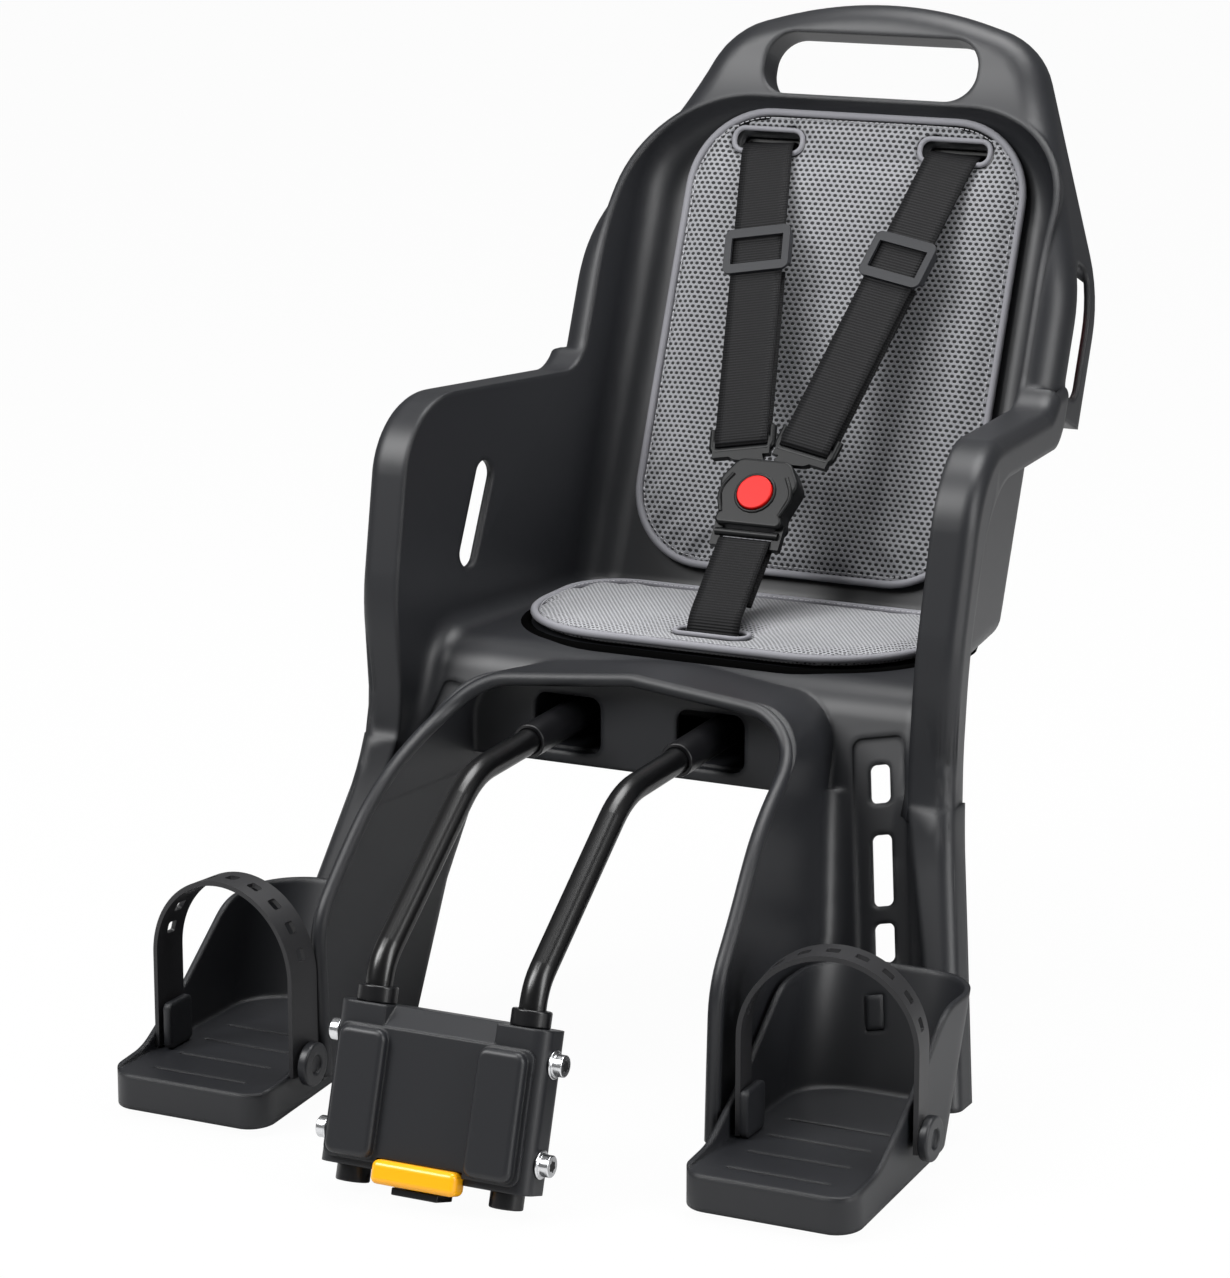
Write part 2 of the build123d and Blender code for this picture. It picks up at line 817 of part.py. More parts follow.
def strap_ends(side):
    """Middle of the tongue's bar and of the strap's entry into the back, both on the harness plane."""
    slot = back_foot + back_up * strap_slot_up + Vector(side * strap_slot_x, 0, 0)
    depth = (harness_plane.origin - slot).dot(harness_plane.z_dir) / back_ahead.dot(harness_plane.z_dir)
    tongue = harness_plane.from_local_coords(Vector(side * tongue_x, tongue_up, 0))
    return tongue, slot + back_ahead * depth, depth


def strap_plane(side):
    """Plane of one shoulder strap, with Y from the tongue's bar up to the back."""
    tongue, slot, _ = strap_ends(side)
    return Plane(
        origin=tongue,
        x_dir=(slot - tongue).cross(harness_plane.z_dir).normalized(),
        z_dir=harness_plane.z_dir,
    )


def bar_plane(face, up):
    """Plane across the width of the webbing at a bar that the webbing loops round."""
    centre = face.from_local_coords(Vector(-web_width / 2, up, -web_bar_depth))
    return Plane(origin=centre, x_dir=face.y_dir, z_dir=face.x_dir)


def web_loop(face, up):
    with BuildPart() as loop:
        with BuildSketch(bar_plane(face, up)):
            Circle(web_loop_inner + web_thick)
            Circle(web_loop_inner, mode=Mode.SUBTRACT)
        extrude(amount=web_width)
    return loop.part


def loop_bar(face, up):
    """Round bar inside a loop of webbing, with rails at its ends."""
    with BuildPart() as bar:
        with BuildSketch(bar_plane(face, up).offset(-rest_gap - tongue_rail)):
            Circle(tongue_bar_radius)
        extrude(amount=web_width + 2 * (rest_gap + tongue_rail))
    return bar.part


for side, hand in ((-1, "left"), (1, "right")):
    tongue_bar, slot_mouth, mouth_ahead = strap_ends(side)
    face = strap_plane(side)
    strap_length = (slot_mouth - tongue_bar).length
    with BuildPart() as shoulder_strap:
        with BuildSketch(face.offset(-web_thick / 2)):
            with Locations((0, strap_length / 2)):
                Rectangle(web_width, strap_length)
        extrude(amount=web_thick)
        add(web_loop(face, 0))
        with BuildSketch(back_plane.offset(mouth_ahead + web_thick)):
            with Locations((side * strap_slot_x, strap_slot_up)):
                Rectangle(web_width, web_thick)
        extrude(amount=-(mouth_ahead + web_thick + wall + retainer_thick))
    save(shoulder_strap.part, f"shoulder_strap_{hand}")
    with BuildPart() as strap_bar:
        with BuildSketch(back_plane.offset(-wall)):
            with Locations((side * strap_slot_x, strap_slot_up)):
                Rectangle(retainer_length, retainer_height)
                Rectangle(web_width + 2 * pin_gap, web_thick + 2 * pin_gap, mode=Mode.SUBTRACT)
        extrude(amount=-retainer_thick)
    save(strap_bar.part, f"strap_bar_{hand}")
    rail_inner = web_width / 2 + rest_gap
    with BuildPart() as strap_adjuster:
        with BuildSketch(face.offset(web_thick / 2)):
            with Locations((0, adjuster_place * strap_length)):
                RectangleRounded(adjuster_width, adjuster_height, adjuster_round)
                Rectangle(web_width, adjuster_height - 2 * adjuster_bar, mode=Mode.SUBTRACT)
        extrude(amount=(adjuster_thick - web_thick) / 2)
        with BuildSketch(face.offset(web_thick / 2)):
            with Locations((0, adjuster_place * strap_length)):
                Rectangle(adjuster_width, adjuster_height - 2 * adjuster_round)
                Rectangle(2 * rail_inner, adjuster_height, mode=Mode.SUBTRACT)
        extrude(amount=-(adjuster_thick + web_thick) / 2)
        with BuildSketch(face.offset(-web_thick / 2)):
            with Locations((0, adjuster_place * strap_length)):
                Rectangle(2 * rail_inner, adjuster_bar)
        extrude(amount=-(adjuster_thick - web_thick) / 2)
    save(strap_adjuster.part, f"strap_adjuster_{hand}")
    neck = [
        Vector(end * side * tongue_neck_half_width, -tongue_window, 0) for end in (1, -1)
    ]
    with BuildPart() as buckle_tongue:
        with BuildSketch(face.offset(-web_bar_depth - tongue_bar_radius)):
            with Locations((0, -tongue_frame / 2)):
                Rectangle(2 * (rail_inner + tongue_rail), tongue_frame)
            with Locations((0, 0)):
                Rectangle(2 * rail_inner, 2 * tongue_window, mode=Mode.SUBTRACT)
        extrude(amount=2 * tongue_bar_radius)
        add(loop_bar(face, 0))
        with BuildSketch(harness_plane.offset(-web_bar_depth - tongue_bar_radius)):
            with BuildLine():
                Polyline(
                    *[(side * x, buckle_high) for x in tongue_stem],
                    *[harness_plane.to_local_coords(face.from_local_coords(corner)) for corner in neck],
                    close=True,
                )
            make_face()
        extrude(amount=2 * tongue_bar_radius)
    save(buckle_tongue.part, f"buckle_tongue_{hand}")

buckle_low = buckle_outline[-1][1]
buckle_rear = -web_bar_depth - buckle_thick / 2
buckle_front = -web_bar_depth + buckle_thick / 2
button_low = buckle_front + button_proud - button_depth
pocket_floor = button_low - button_spring_height
with BuildPart() as buckle_body:
    with BuildSketch(harness_plane.offset(buckle_rear)):
        with BuildLine():
            FilletPolyline(
                *buckle_outline,
                *[(-x, up) for x, up in reversed(buckle_outline)],
                radius=[*buckle_outline_round, *reversed(buckle_outline_round)],
                close=True,
            )
        make_face()
    extrude(amount=buckle_thick)
    buckle_face = buckle_body.faces().sort_by(Axis(harness_plane.origin, harness_plane.z_dir))[-1]
    fillet(buckle_face.edges(), buckle_edge_round)
    with BuildSketch(harness_plane.offset(buckle_front)):
        Circle(button_radius + rest_gap)
    extrude(amount=pocket_floor - buckle_front, mode=Mode.SUBTRACT)
    with BuildSketch(harness_plane.offset(-web_bar_depth - tongue_bar_radius)):
        rail_high = buckle_low + wall
        rail_low = buckle_bar_up - tongue_bar_radius
        rail_x = rail_inner + buckle_rail / 2
        with Locations(*[(side * rail_x, (rail_high + rail_low) / 2) for side in (-1, 1)]):
            Rectangle(buckle_rail, rail_high - rail_low)
    extrude(amount=2 * tongue_bar_radius)
    add(loop_bar(harness_plane, buckle_bar_up))
save(buckle_body.part, "buckle_body")
with BuildPart() as buckle_button:
    with BuildSketch(harness_plane.offset(button_low)):
        Circle(button_radius)
    extrude(amount=button_depth)
    fillet(buckle_button.edges().sort_by(Axis(harness_plane.origin, harness_plane.z_dir))[-1], wall / 4)
save(buckle_button.part, "buckle_button")


def coil_spring(base, radius, height):
    """Compression spring standing on a plane, just short of the piece it pushes."""
    rise = height - rest_gap - 2 * spring_wire
    with BuildPart() as spring:
        with BuildLine() as coil:
            Helix(rise / spring_turns, rise, radius, base.origin + base.z_dir * spring_wire, base.z_dir)
        with BuildSketch(Plane(origin=coil.line @ 0, z_dir=coil.line % 0)):
            Circle(spring_wire)
        sweep(path=coil.line, is_frenet=True)
    return spring.part


buckle_spring = coil_spring(harness_plane.offset(pocket_floor), button_spring_radius, button_spring_height)
save(buckle_spring, "buckle_spring")

crotch_bar_point = harness_plane.from_local_coords(Vector(0, buckle_bar_up, 0))
with BuildPart() as crotch_strap:
    add(web_loop(harness_plane, buckle_bar_up))
    with BuildSketch(Plane.YZ.offset(-web_width / 2)):
        with BuildLine():
            FilletPolyline(
                (crotch_bar_point.Y, crotch_bar_point.Z),
                (crotch_slot_y, pan_top + pad_thick),
                (crotch_slot_y, pan_low - retainer_thick),
                radius=crotch_bend_round,
            )
        trace(line_width=web_thick)
    extrude(amount=web_width)
save(crotch_strap.part, "crotch_strap")
with BuildPart() as crotch_bar:
    with BuildSketch(Plane.XY.offset(pan_low)):
        with Locations((0, crotch_slot_y)):
            Rectangle(retainer_length, retainer_height)
            Rectangle(web_width + 2 * pin_gap, web_thick + 2 * pin_gap, mode=Mode.SUBTRACT)
    extrude(amount=-retainer_thick)
save(crotch_bar.part, "crotch_bar")

# Carrier bar with its sleeves and saddles
bar_x = bar_pitch / 2
bar_foot_point = tube_plane.from_local_coords(Vector(bar_x, -bar_ahead, bar_foot))
bar_knee_rise = (bar_knee_y - bar_foot_point.Y) / tube_up.Y
bar_knee_point = bar_foot_point + tube_up * bar_knee_rise
with BuildPart() as bar_leg:
    with BuildLine(Plane.YZ.offset(bar_x)) as bar_line:
        FilletPolyline(
            (bar_foot_point.Y, bar_foot_point.Z),
            (bar_knee_point.Y, bar_knee_point.Z),
            (bar_shin_end_y, bar_shin_end_z),
            (bar_turn_start.Y, bar_turn_start.Z),
            radius=[bar_knee_round, bar_bend_round],
        )
    with BuildSketch(Plane(origin=bar_line.line @ 0, z_dir=bar_line.line % 0)):
        Circle(bar_radius)
    sweep(path=bar_line.line)
with BuildPart() as bar_turn:
    turn_plane = Plane(origin=bar_turn_start, x_dir=(1, 0, 0), z_dir=Vector(1, 0, 0).cross(bar_along))
    turn_reach = bar_turn_round + bar_turn_lead
    with BuildLine(turn_plane) as turn_line:
        FilletPolyline(
            (bar_x, 0), (bar_x, turn_reach), (-bar_x, turn_reach), (-bar_x, 0), radius=bar_turn_round
        )
    with BuildSketch(Plane(origin=turn_line.line @ 0, z_dir=turn_line.line % 0)):
        Circle(bar_radius)
    sweep(path=turn_line.line)
with BuildPart() as carrier_bar:
    add(both(bar_leg.part))
    add(bar_turn.part)
save(carrier_bar.part, "carrier_bar")


def bar_run_plane(place):
    """Plane across the right rod where it runs under the pan."""
    centre = bar_run_start + bar_along * ((place - bar_shin_end_y) / bar_along.Y)
    return Plane(origin=centre + Vector(bar_x, 0, 0), x_dir=(1, 0, 0), z_dir=bar_along)


with BuildPart() as bar_sleeve:
    with BuildSketch(bar_run_plane(sleeve_front_y)):
        Circle(sleeve_radius)
        Circle(bar_radius + pin_gap, mode=Mode.SUBTRACT)
    extrude(amount=sleeve_length)
for side, solid in zip(("right", "left"), both(bar_sleeve.part)):
    save(solid, f"bar_sleeve_{side}")
with BuildPart() as rod_bore:
    with BuildSketch(bar_run_plane(sleeve_front_y + sleeve_length)):
        Circle(bar_radius + pin_gap)
    extrude(amount=bar_turn_y - sleeve_front_y - sleeve_length)
for place, name in zip(saddle_places, ("bar_saddle_front", "bar_saddle_rear")):
    saddle_low = bar_run_plane(place).origin.Z - bar_saddle_low
    with BuildPart() as bar_saddle:
        with BuildSketch(Plane.XZ.offset(-place)):
            with Locations((0, (saddle_low + pan_low) / 2)):
                RectangleRounded(2 * bar_saddle_half_length, pan_low - saddle_low, wall / 2)
        extrude(amount=bar_saddle_depth / 2, both=True)
        add(both(rod_bore.part), mode=Mode.SUBTRACT)
        add(saddle_screw_shanks(saddle_low - wall), mode=Mode.SUBTRACT)
    save(bar_saddle.part, name)
with BuildPart() as saddle_screws:
    for place in saddle_places:
        head_top = bar_run_plane(place).origin.Z - bar_saddle_low
        spots = [(side * saddle_screw_x, place) for side in (-1, 1)]
        with BuildSketch(Plane.XY.offset(head_top)):
            with Locations(*spots):
                Circle(saddle_screw_head)
        extrude(amount=-saddle_screw_head_height)
        with BuildSketch(Plane.XY.offset(head_top)):
            with Locations(*spots):
                Circle(saddle_screw_radius)
        extrude(amount=pan_low + saddle_screw_bite - head_top)
save(saddle_screws.part, "saddle_screws")

# Block at the foot of the bar, with its cover, collars, caps, bolts and release bar
rail_front = saddle_front + rail_neck_depth
rail_face = rail_front + rail_head_depth
release_high = release_low + release_height


def tube_box(x_low, x_high, front, rear, low, high):
    """Plain box in the leaning frame of the seat tube."""
    with BuildPart() as box:
        with BuildSketch(tube_plane.offset(low)):
            with Locations(((x_low + x_high) / 2, (front + rear) / 2)):
                Rectangle(x_high - x_low, rear - front)
        extrude(amount=high - low)
    return box.part


def tube_round(x, rear, radius, low, high):
    """Round post along the seat tube, in its leaning frame."""
    with BuildPart() as post:
        with BuildSketch(tube_plane.offset(low)):
            with Locations((x, rear)):
                Circle(radius)
        extrude(amount=high - low)
    return post.part


def rail_space(grow, low, high):
    """T-shaped rail of the saddle, or the slot for it."""
    with BuildPart() as rail:
        add(tube_box(-rail_neck - grow, rail_neck + grow, -rail_front - grow, -saddle_front + grow, low, high))
        add(tube_box(-rail_head - grow, rail_head + grow, -rail_face - grow, -rail_front + grow, low, high))
    return rail.part


def side_bolt_shanks(radius, start, length):
    """Shanks, heads or washers of the right side's two bolts, from a distance off the middle outwards."""
    with BuildPart() as shanks:
        with BuildSketch(Plane(origin=Vector(start, 0, 0), x_dir=tube_rear, z_dir=(1, 0, 0))):
            with Locations(*[(-bar_ahead, up) for up in side_bolt_heights]):
                Circle(radius)
        extrude(amount=length)
    return shanks.part


with BuildPart() as mount_block:
    with BuildSketch(tube_plane.offset(block_low)) as block_outline:
        with Locations((0, -(block_front + block_rear) / 2)):
            RectangleRounded(2 * block_half_width, block_front - block_rear, block_round)
    extrude(amount=block_high - block_low)
    with BuildSketch(Plane(origin=(0, 0, 0), x_dir=tube_rear, z_dir=(1, 0, 0))):
        with BuildLine():
            Polyline(
                (-block_front - wall, block_high - block_slope - wall),
                (-block_front + block_slope + wall, block_high + wall),
                (-block_front - wall, block_high + wall),
                close=True,
            )
        make_face()
    extrude(amount=block_slope_half_width, both=True, mode=Mode.SUBTRACT)
    add(rail_space(rest_gap, block_low - wall, rail_top + rest_gap), mode=Mode.SUBTRACT)
    for side in (-1, 1):
        add(
            tube_round(side * bar_x, -bar_ahead, bar_radius + pin_gap, block_low - wall, block_high + wall),
            mode=Mode.SUBTRACT,
        )
    add(
        tube_box(
            -release_half_width - rest_gap,
            release_half_width + rest_gap,
            -block_front - wall,
            -release_pocket,
            block_low - wall,
            release_high + rest_gap,
        ),
        mode=Mode.SUBTRACT,
    )
    add(both(side_bolt_shanks(side_bolt_radius, block_half_width - side_bolt_length, side_bolt_length)),
        mode=Mode.SUBTRACT)
save(mount_block.part, "mount_block")

with BuildPart() as front_cover:
    cover_plane = Plane(origin=tube_rear * -block_front, x_dir=(1, 0, 0), z_dir=tube_rear * -1)
    rib_middle = (cover_rib_inner + cover_rib_outer) / 2
    with BuildSketch(cover_plane):
        with Locations((0, (cover_low + cover_high) / 2)):
            RectangleRounded(2 * cover_half_width, cover_high - cover_low, cover_round)
    extrude(amount=cover_thick)
    with BuildSketch(cover_plane.offset(cover_thick)):
        with Locations(*[(side * rib_middle, (cover_low + cover_high) / 2) for side in (-1, 1)]):
            RectangleRounded(
                cover_rib_outer - cover_rib_inner, cover_high - cover_low - 2 * cover_rib_inset, cover_round
            )
    extrude(amount=cover_rib)
    rib_faces = front_cover.faces().sort_by(Axis((0, 0, 0), cover_plane.z_dir))[-2:]
    fillet(rib_faces.edges(), cover_edge_round)
    add(
        tube_box(
            -release_half_width - rest_gap,
            release_half_width + rest_gap,
            -release_front - release_travel,
            -block_front + wall,
            release_low,
            release_high + rest_gap,
        ),
        mode=Mode.SUBTRACT,
    )
save(front_cover.part, "front_cover")

with BuildPart() as release_bar:
    add(
        tube_box(
            -release_half_width, release_half_width, -release_front, -release_rear, release_low, release_high
        )
    )
    fillet(release_bar.edges(), release_round)
save(release_bar.part, "release_bar")
release_spring_plane = Plane(
    origin=tube_plane.from_local_coords(Vector(0, -release_pocket, release_spring_up)),
    x_dir=(1, 0, 0),
    z_dir=tube_rear * -1,
)
save(coil_spring(release_spring_plane, release_spring_radius, release_rear - release_pocket), "release_spring")

with BuildPart() as latch_tab:
    add(
        tube_box(
            -latch_tab_half_width,
            latch_tab_half_width,
            -latch_tab_front,
            -latch_tab_web,
            latch_tab_low,
            latch_tab_low + latch_tab_thick,
        )
    )
    add(
        tube_box(
            -latch_tab_half_width,
            latch_tab_half_width,
            -release_pocket,
            -latch_tab_web,
            latch_tab_low,
            block_low,
        )
    )
save(latch_tab.part, "latch_tab")

for side, hand in ((-1, "left"), (1, "right")):
    with BuildPart() as bar_collar:
        add(tube_round(side * bar_x, -bar_ahead, collar_radius, block_high, block_high + collar_height))
        add(
            tube_round(
                side * bar_x, -bar_ahead, bar_radius + pin_gap, block_high - wall, block_high + 2 * collar_height
            ),
            mode=Mode.SUBTRACT,
        )
    save(bar_collar.part, f"bar_collar_{hand}")
    with BuildPart() as bar_cap:
        add(tube_round(side * bar_x, -bar_ahead, cap_radius, bar_foot - cap_floor, block_low))
        add(
            tube_round(side * bar_x, -bar_ahead, bar_radius + pin_gap, bar_foot, block_low + wall),
            mode=Mode.SUBTRACT,
        )
    save(bar_cap.part, f"bar_cap_{hand}")

with BuildPart() as side_bolts:
    for radius, start, length in (
        (side_bolt_radius, block_half_width - side_bolt_length, side_bolt_length),
        (side_bolt_washer_radius, block_half_width, side_bolt_washer_thick),
        (side_bolt_head_radius, block_half_width + side_bolt_washer_thick, side_bolt_head_height),
    ):
        add(both(side_bolt_shanks(radius, start, length)))
save(side_bolts.part, "side_bolts")

# Clamp that stays on the seat tube
with BuildPart() as clamp_bolts:
    bolt_spots = [(side * clamp_bolt_x, up) for side in (-1, 1) for up in (-clamp_bolt_up, clamp_bolt_up)]
    jaw_plane = Plane(origin=tube_rear * jaw_rear, x_dir=(-1, 0, 0), z_dir=tube_rear)
    with BuildSketch(jaw_plane):
        with Locations(*bolt_spots):
            Circle(clamp_bolt_radius)
    extrude(amount=-clamp_bolt_length)
    with BuildSketch(jaw_plane):
        with Locations(*bolt_spots):
            Circle(clamp_head_radius)
    extrude(amount=clamp_head_height)
save(clamp_bolts.part, "clamp_bolts")
with BuildPart() as tube_saddle:
    add(
        tube_box(
            -clamp_half_width, clamp_half_width, -saddle_front, -clamp_split, -clamp_half_height, clamp_half_height
        )
    )
    fillet(tube_saddle.edges().filter_by(Axis((0, 0, 0), tube_up)), clamp_split)
    add(rail_space(0, -clamp_half_height, rail_top))
    add(tube_round(0, 0, tube_radius, -far, far), mode=Mode.SUBTRACT)
    add(clamp_bolts.part, mode=Mode.SUBTRACT)
save(tube_saddle.part, "tube_saddle")
with BuildPart() as rear_jaw:
    add(
        tube_box(
            -clamp_half_width, clamp_half_width, clamp_split, jaw_rear, -clamp_half_height, clamp_half_height
        )
    )
    fillet(rear_jaw.edges().filter_by(Axis((0, 0, 0), tube_up)).sort_by(Axis.Y)[-2:], clamp_round)
    add(tube_round(0, 0, tube_radius, -far, far), mode=Mode.SUBTRACT)
    add(clamp_bolts.part, mode=Mode.SUBTRACT)
save(rear_jaw.part, "rear_jaw")

# Footrests, their hooks and their straps
foot_back = leg_rim_ahead + foot_rim_gap
foot_middle_x = (foot_inner_x + foot_outer_x) / 2
foot_back_depth = foot_back * -leg_plane(1).z_dir.Y


def foot_back_y(height):
    """Rear face of the footrest, parallel to the back wall of the leg."""
    return leg_back_y(height) - foot_back


def foot_heel(inset):
    """Leaning block with the footrest's width and its rounded heel."""
    with BuildPart() as block:
        rear = foot_back_y(0) - inset
        with BuildSketch(Plane.XY) as plan:
            with Locations((foot_middle_x, rear - far / 2)):
                Rectangle(foot_outer_x - foot_inner_x - 2 * inset, far)
            fillet(plan.vertices().group_by(Axis.Y)[-1], foot_heel_round - inset)
        extrude(amount=far / 2, dir=(0, leg_back_rise, 1), both=True)
    return block.part


def foot_toe(inset):
    """Upright block with the rounded front corners of the footrest."""
    with BuildPart() as block:
        with BuildSketch(Plane.XY.offset(-far / 4)) as plan:
            with Locations((foot_middle_x, foot_front_y + inset + far / 2)):
                Rectangle(foot_outer_x - foot_inner_x - 2 * inset, far)
            fillet(plan.vertices().group_by(Axis.Y)[0], foot_front_round - inset)
        extrude(amount=far)
    return block.part


def foot_profile():
    """Side view of the footrest, carried across its width."""
    top = foot_side_edge[-1][1]
    with BuildPart() as profile:
        with BuildSketch(Plane.YZ.offset(foot_inner_x - wall)):
            with BuildLine():
                edge = FilletPolyline(
                    (foot_front_y - wall, foot_sole_z),
                    *foot_side_edge,
                    (foot_back_y(top) + wall, top),
                    radius=foot_side_round,
                )
                Polyline(
                    edge @ 1,
                    (foot_back_y(top) + wall, foot_skirt_rear_z),
                    (foot_front_y - wall, foot_skirt_front_z),
                    edge @ 0,
                )
            make_face()
        extrude(amount=foot_outer_x - foot_inner_x + 2 * wall)
    return profile.part


def level_slab(low, high):
    """Everything between two heights."""
    with BuildPart() as slab:
        with BuildSketch(Plane.XY.offset(low)):
            Rectangle(4 * far, 4 * far)
        extrude(amount=high - low)
    return slab.part


def hook_block(grow):
    """Hook of the right footrest: through its rear wall and rail into a slot of the leg."""
    front = foot_back_depth + foot_wall + hook_proud
    with BuildPart() as hook:
        with BuildSketch(leg_plane(1).offset(front)):
            with Locations((0, strip_length(hook_height_z))):
                Rectangle(hook_width + 2 * grow, hook_length + 2 * grow)
        extrude(amount=-(front + wall + hook_reach))
    return hook.part


with BuildPart() as foot_space:
    add(foot_heel(foot_wall))
    add(level_slab(foot_sole_z, far), mode=Mode.INTERSECT)
with BuildPart() as foot_hollow:
    add(foot_heel(foot_wall))
    add(foot_toe(foot_wall), mode=Mode.INTERSECT)
    add(level_slab(-far, foot_sole_z - foot_wall), mode=Mode.INTERSECT)
with BuildPart() as footrest:
    add(foot_heel(0))
    add(foot_toe(0), mode=Mode.INTERSECT)
    add(foot_profile(), mode=Mode.INTERSECT)
    add(foot_space.part, mode=Mode.SUBTRACT)
    add(foot_hollow.part, mode=Mode.SUBTRACT)
    with BuildSketch(Plane.XY.offset(foot_sole_z)):
        for row in range(groove_count):
            with Locations((foot_middle_x, groove_start_y + row * groove_pitch)):
                Rectangle(2 * groove_half_length, groove_width)
    extrude(amount=-groove_depth, mode=Mode.SUBTRACT)
    with BuildSketch(leg_plane(1).offset(rest_gap - strip_depth)):
        with Locations((0, strip_length((foot_rail_low_z + foot_rail_high_z) / 2))):
            Rectangle(strip_width - 2 * foot_rail_gap, strip_length(foot_rail_high_z - foot_rail_low_z))
    extrude(amount=foot_back_depth + foot_wall / 2 + strip_depth - rest_gap)
    add(hook_block(pin_gap), mode=Mode.SUBTRACT)
for name, piece in (("footrest", footrest.part), ("footrest_hook", hook_block(0))):
    for hand, solid in zip(("right", "left"), both(piece)):
        save(solid, f"{name}_{hand}")

for hand, low_face, high_face in (
    ("left", foot_wall - foot_outer_x, -foot_inner_x),
    ("right", foot_inner_x + foot_wall, foot_outer_x),
):
    lean = atan2(foot_disc_y[hand] - foot_anchor_y[hand], high_face - low_face)
    stand_off = foot_strap_width / 2 * abs(sin(lean)) + foot_strap_thick / 2 * cos(lean)
    anchor = Vector(low_face + stand_off, foot_anchor_y[hand], 0)
    disc = Vector(high_face + stand_off, foot_disc_y[hand], 0)
    across = (disc - anchor).normalized()
    arch_plane = Plane(origin=(anchor + disc) * 0.5, x_dir=across, z_dir=across.cross(Vector(0, 0, 1)))
    outer = (disc - anchor).length / 2 + foot_strap_thick / 2
    inner = outer - foot_strap_thick
    centre_z = foot_strap_top - outer
    with BuildPart() as foot_strap:
        with BuildSketch(arch_plane):
            with Locations((0, centre_z)):
                Circle(outer)
                Circle(inner, mode=Mode.SUBTRACT)
            with Locations((0, centre_z - outer)):
                Rectangle(2 * outer, 2 * outer, mode=Mode.SUBTRACT)
            middle_z = (centre_z + foot_strap_low) / 2
            with Locations(*[(sign * (outer + inner) / 2, middle_z) for sign in (-1, 1)]):
                Rectangle(foot_strap_thick, centre_z - foot_strap_low)
        extrude(amount=foot_strap_width / 2, both=True)
        for number in range(foot_strap_holes):
            turn = (number - (foot_strap_holes - 1) / 2) * foot_strap_hole_pitch / outer
            outward = across * sin(turn) + Vector(0, 0, cos(turn))
            hole_centre = arch_plane.from_local_coords(Vector(0, centre_z, 0)) + outward * inner
            with BuildSketch(Plane(origin=hole_centre - outward * wall, x_dir=arch_plane.z_dir, z_dir=outward)):
                RectangleRounded(foot_strap_hole[1], foot_strap_hole[0], foot_strap_hole_round)
            extrude(amount=3 * wall, mode=Mode.SUBTRACT)
    save(foot_strap.part, f"foot_strap_{hand}")
    with BuildPart() as strap_anchor:
        with BuildSketch(Plane.YZ.offset(low_face + 2 * stand_off)):
            with Locations((foot_anchor_y[hand], (anchor_low + anchor_high) / 2)):
                RectangleRounded(anchor_width, anchor_high - anchor_low, wall)
        extrude(amount=anchor_thick)
    save(strap_anchor.part, f"strap_anchor_{hand}")
    with BuildPart() as strap_disc:
        with BuildSketch(Plane.YZ.offset(high_face + 2 * stand_off)):
            with Locations((foot_disc_y[hand], disc_z)):
                Circle(disc_radius)
        extrude(amount=disc_thick)
        fillet(strap_disc.edges().sort_by(Axis.X)[-1], disc_edge_round)
        with BuildSketch(Plane.YZ.offset(high_face + 2 * stand_off + disc_thick)):
            with Locations((foot_disc_y[hand], disc_z)):
                Circle(disc_socket_radius)
        extrude(amount=-disc_socket_depth, mode=Mode.SUBTRACT)
    save(strap_disc.part, f"strap_disc_{hand}")
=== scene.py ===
import json
from math import atan2, cos, pi, radians, sin, tan

import bmesh
import bpy
from mathutils import Matrix, Vector
from mathutils.bvhtree import BVHTree
from mathutils.interpolate import poly_3d_calc


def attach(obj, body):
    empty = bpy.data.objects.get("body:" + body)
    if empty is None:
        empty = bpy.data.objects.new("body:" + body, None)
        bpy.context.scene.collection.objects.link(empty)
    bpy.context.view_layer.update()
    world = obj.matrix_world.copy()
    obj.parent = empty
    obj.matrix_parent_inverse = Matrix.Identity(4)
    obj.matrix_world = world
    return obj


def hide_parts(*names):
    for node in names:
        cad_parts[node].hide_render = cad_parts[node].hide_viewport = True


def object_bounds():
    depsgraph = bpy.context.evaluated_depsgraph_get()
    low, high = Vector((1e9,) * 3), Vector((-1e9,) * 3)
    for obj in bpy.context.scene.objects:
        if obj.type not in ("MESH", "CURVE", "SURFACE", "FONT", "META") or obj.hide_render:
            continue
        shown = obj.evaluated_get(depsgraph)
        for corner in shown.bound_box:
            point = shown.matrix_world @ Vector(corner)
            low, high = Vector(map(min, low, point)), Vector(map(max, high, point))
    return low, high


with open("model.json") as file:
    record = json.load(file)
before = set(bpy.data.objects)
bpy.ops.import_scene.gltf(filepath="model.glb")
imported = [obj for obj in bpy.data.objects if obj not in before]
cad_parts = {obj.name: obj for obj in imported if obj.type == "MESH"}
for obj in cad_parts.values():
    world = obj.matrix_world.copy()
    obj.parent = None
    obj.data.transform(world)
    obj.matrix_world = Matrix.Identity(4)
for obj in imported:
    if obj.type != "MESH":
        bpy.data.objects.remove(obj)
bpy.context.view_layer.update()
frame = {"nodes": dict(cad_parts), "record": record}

# Seat shell: one large injection moulding of charcoal polypropylene, with a fine satin grain from the tool.
# Back, wings, pan, apron and leg guards are one piece, and the carrier bar is screwed to it under the pan.


def linear(code):
    """Linear RGBA of an sRGB hex colour."""
    shares = [int(code[i : i + 2], 16) / 255 for i in (1, 3, 5)]
    return [s / 12.92 if s <= 0.04045 else ((s + 0.055) / 1.055) ** 2.4 for s in shares] + [1.0]


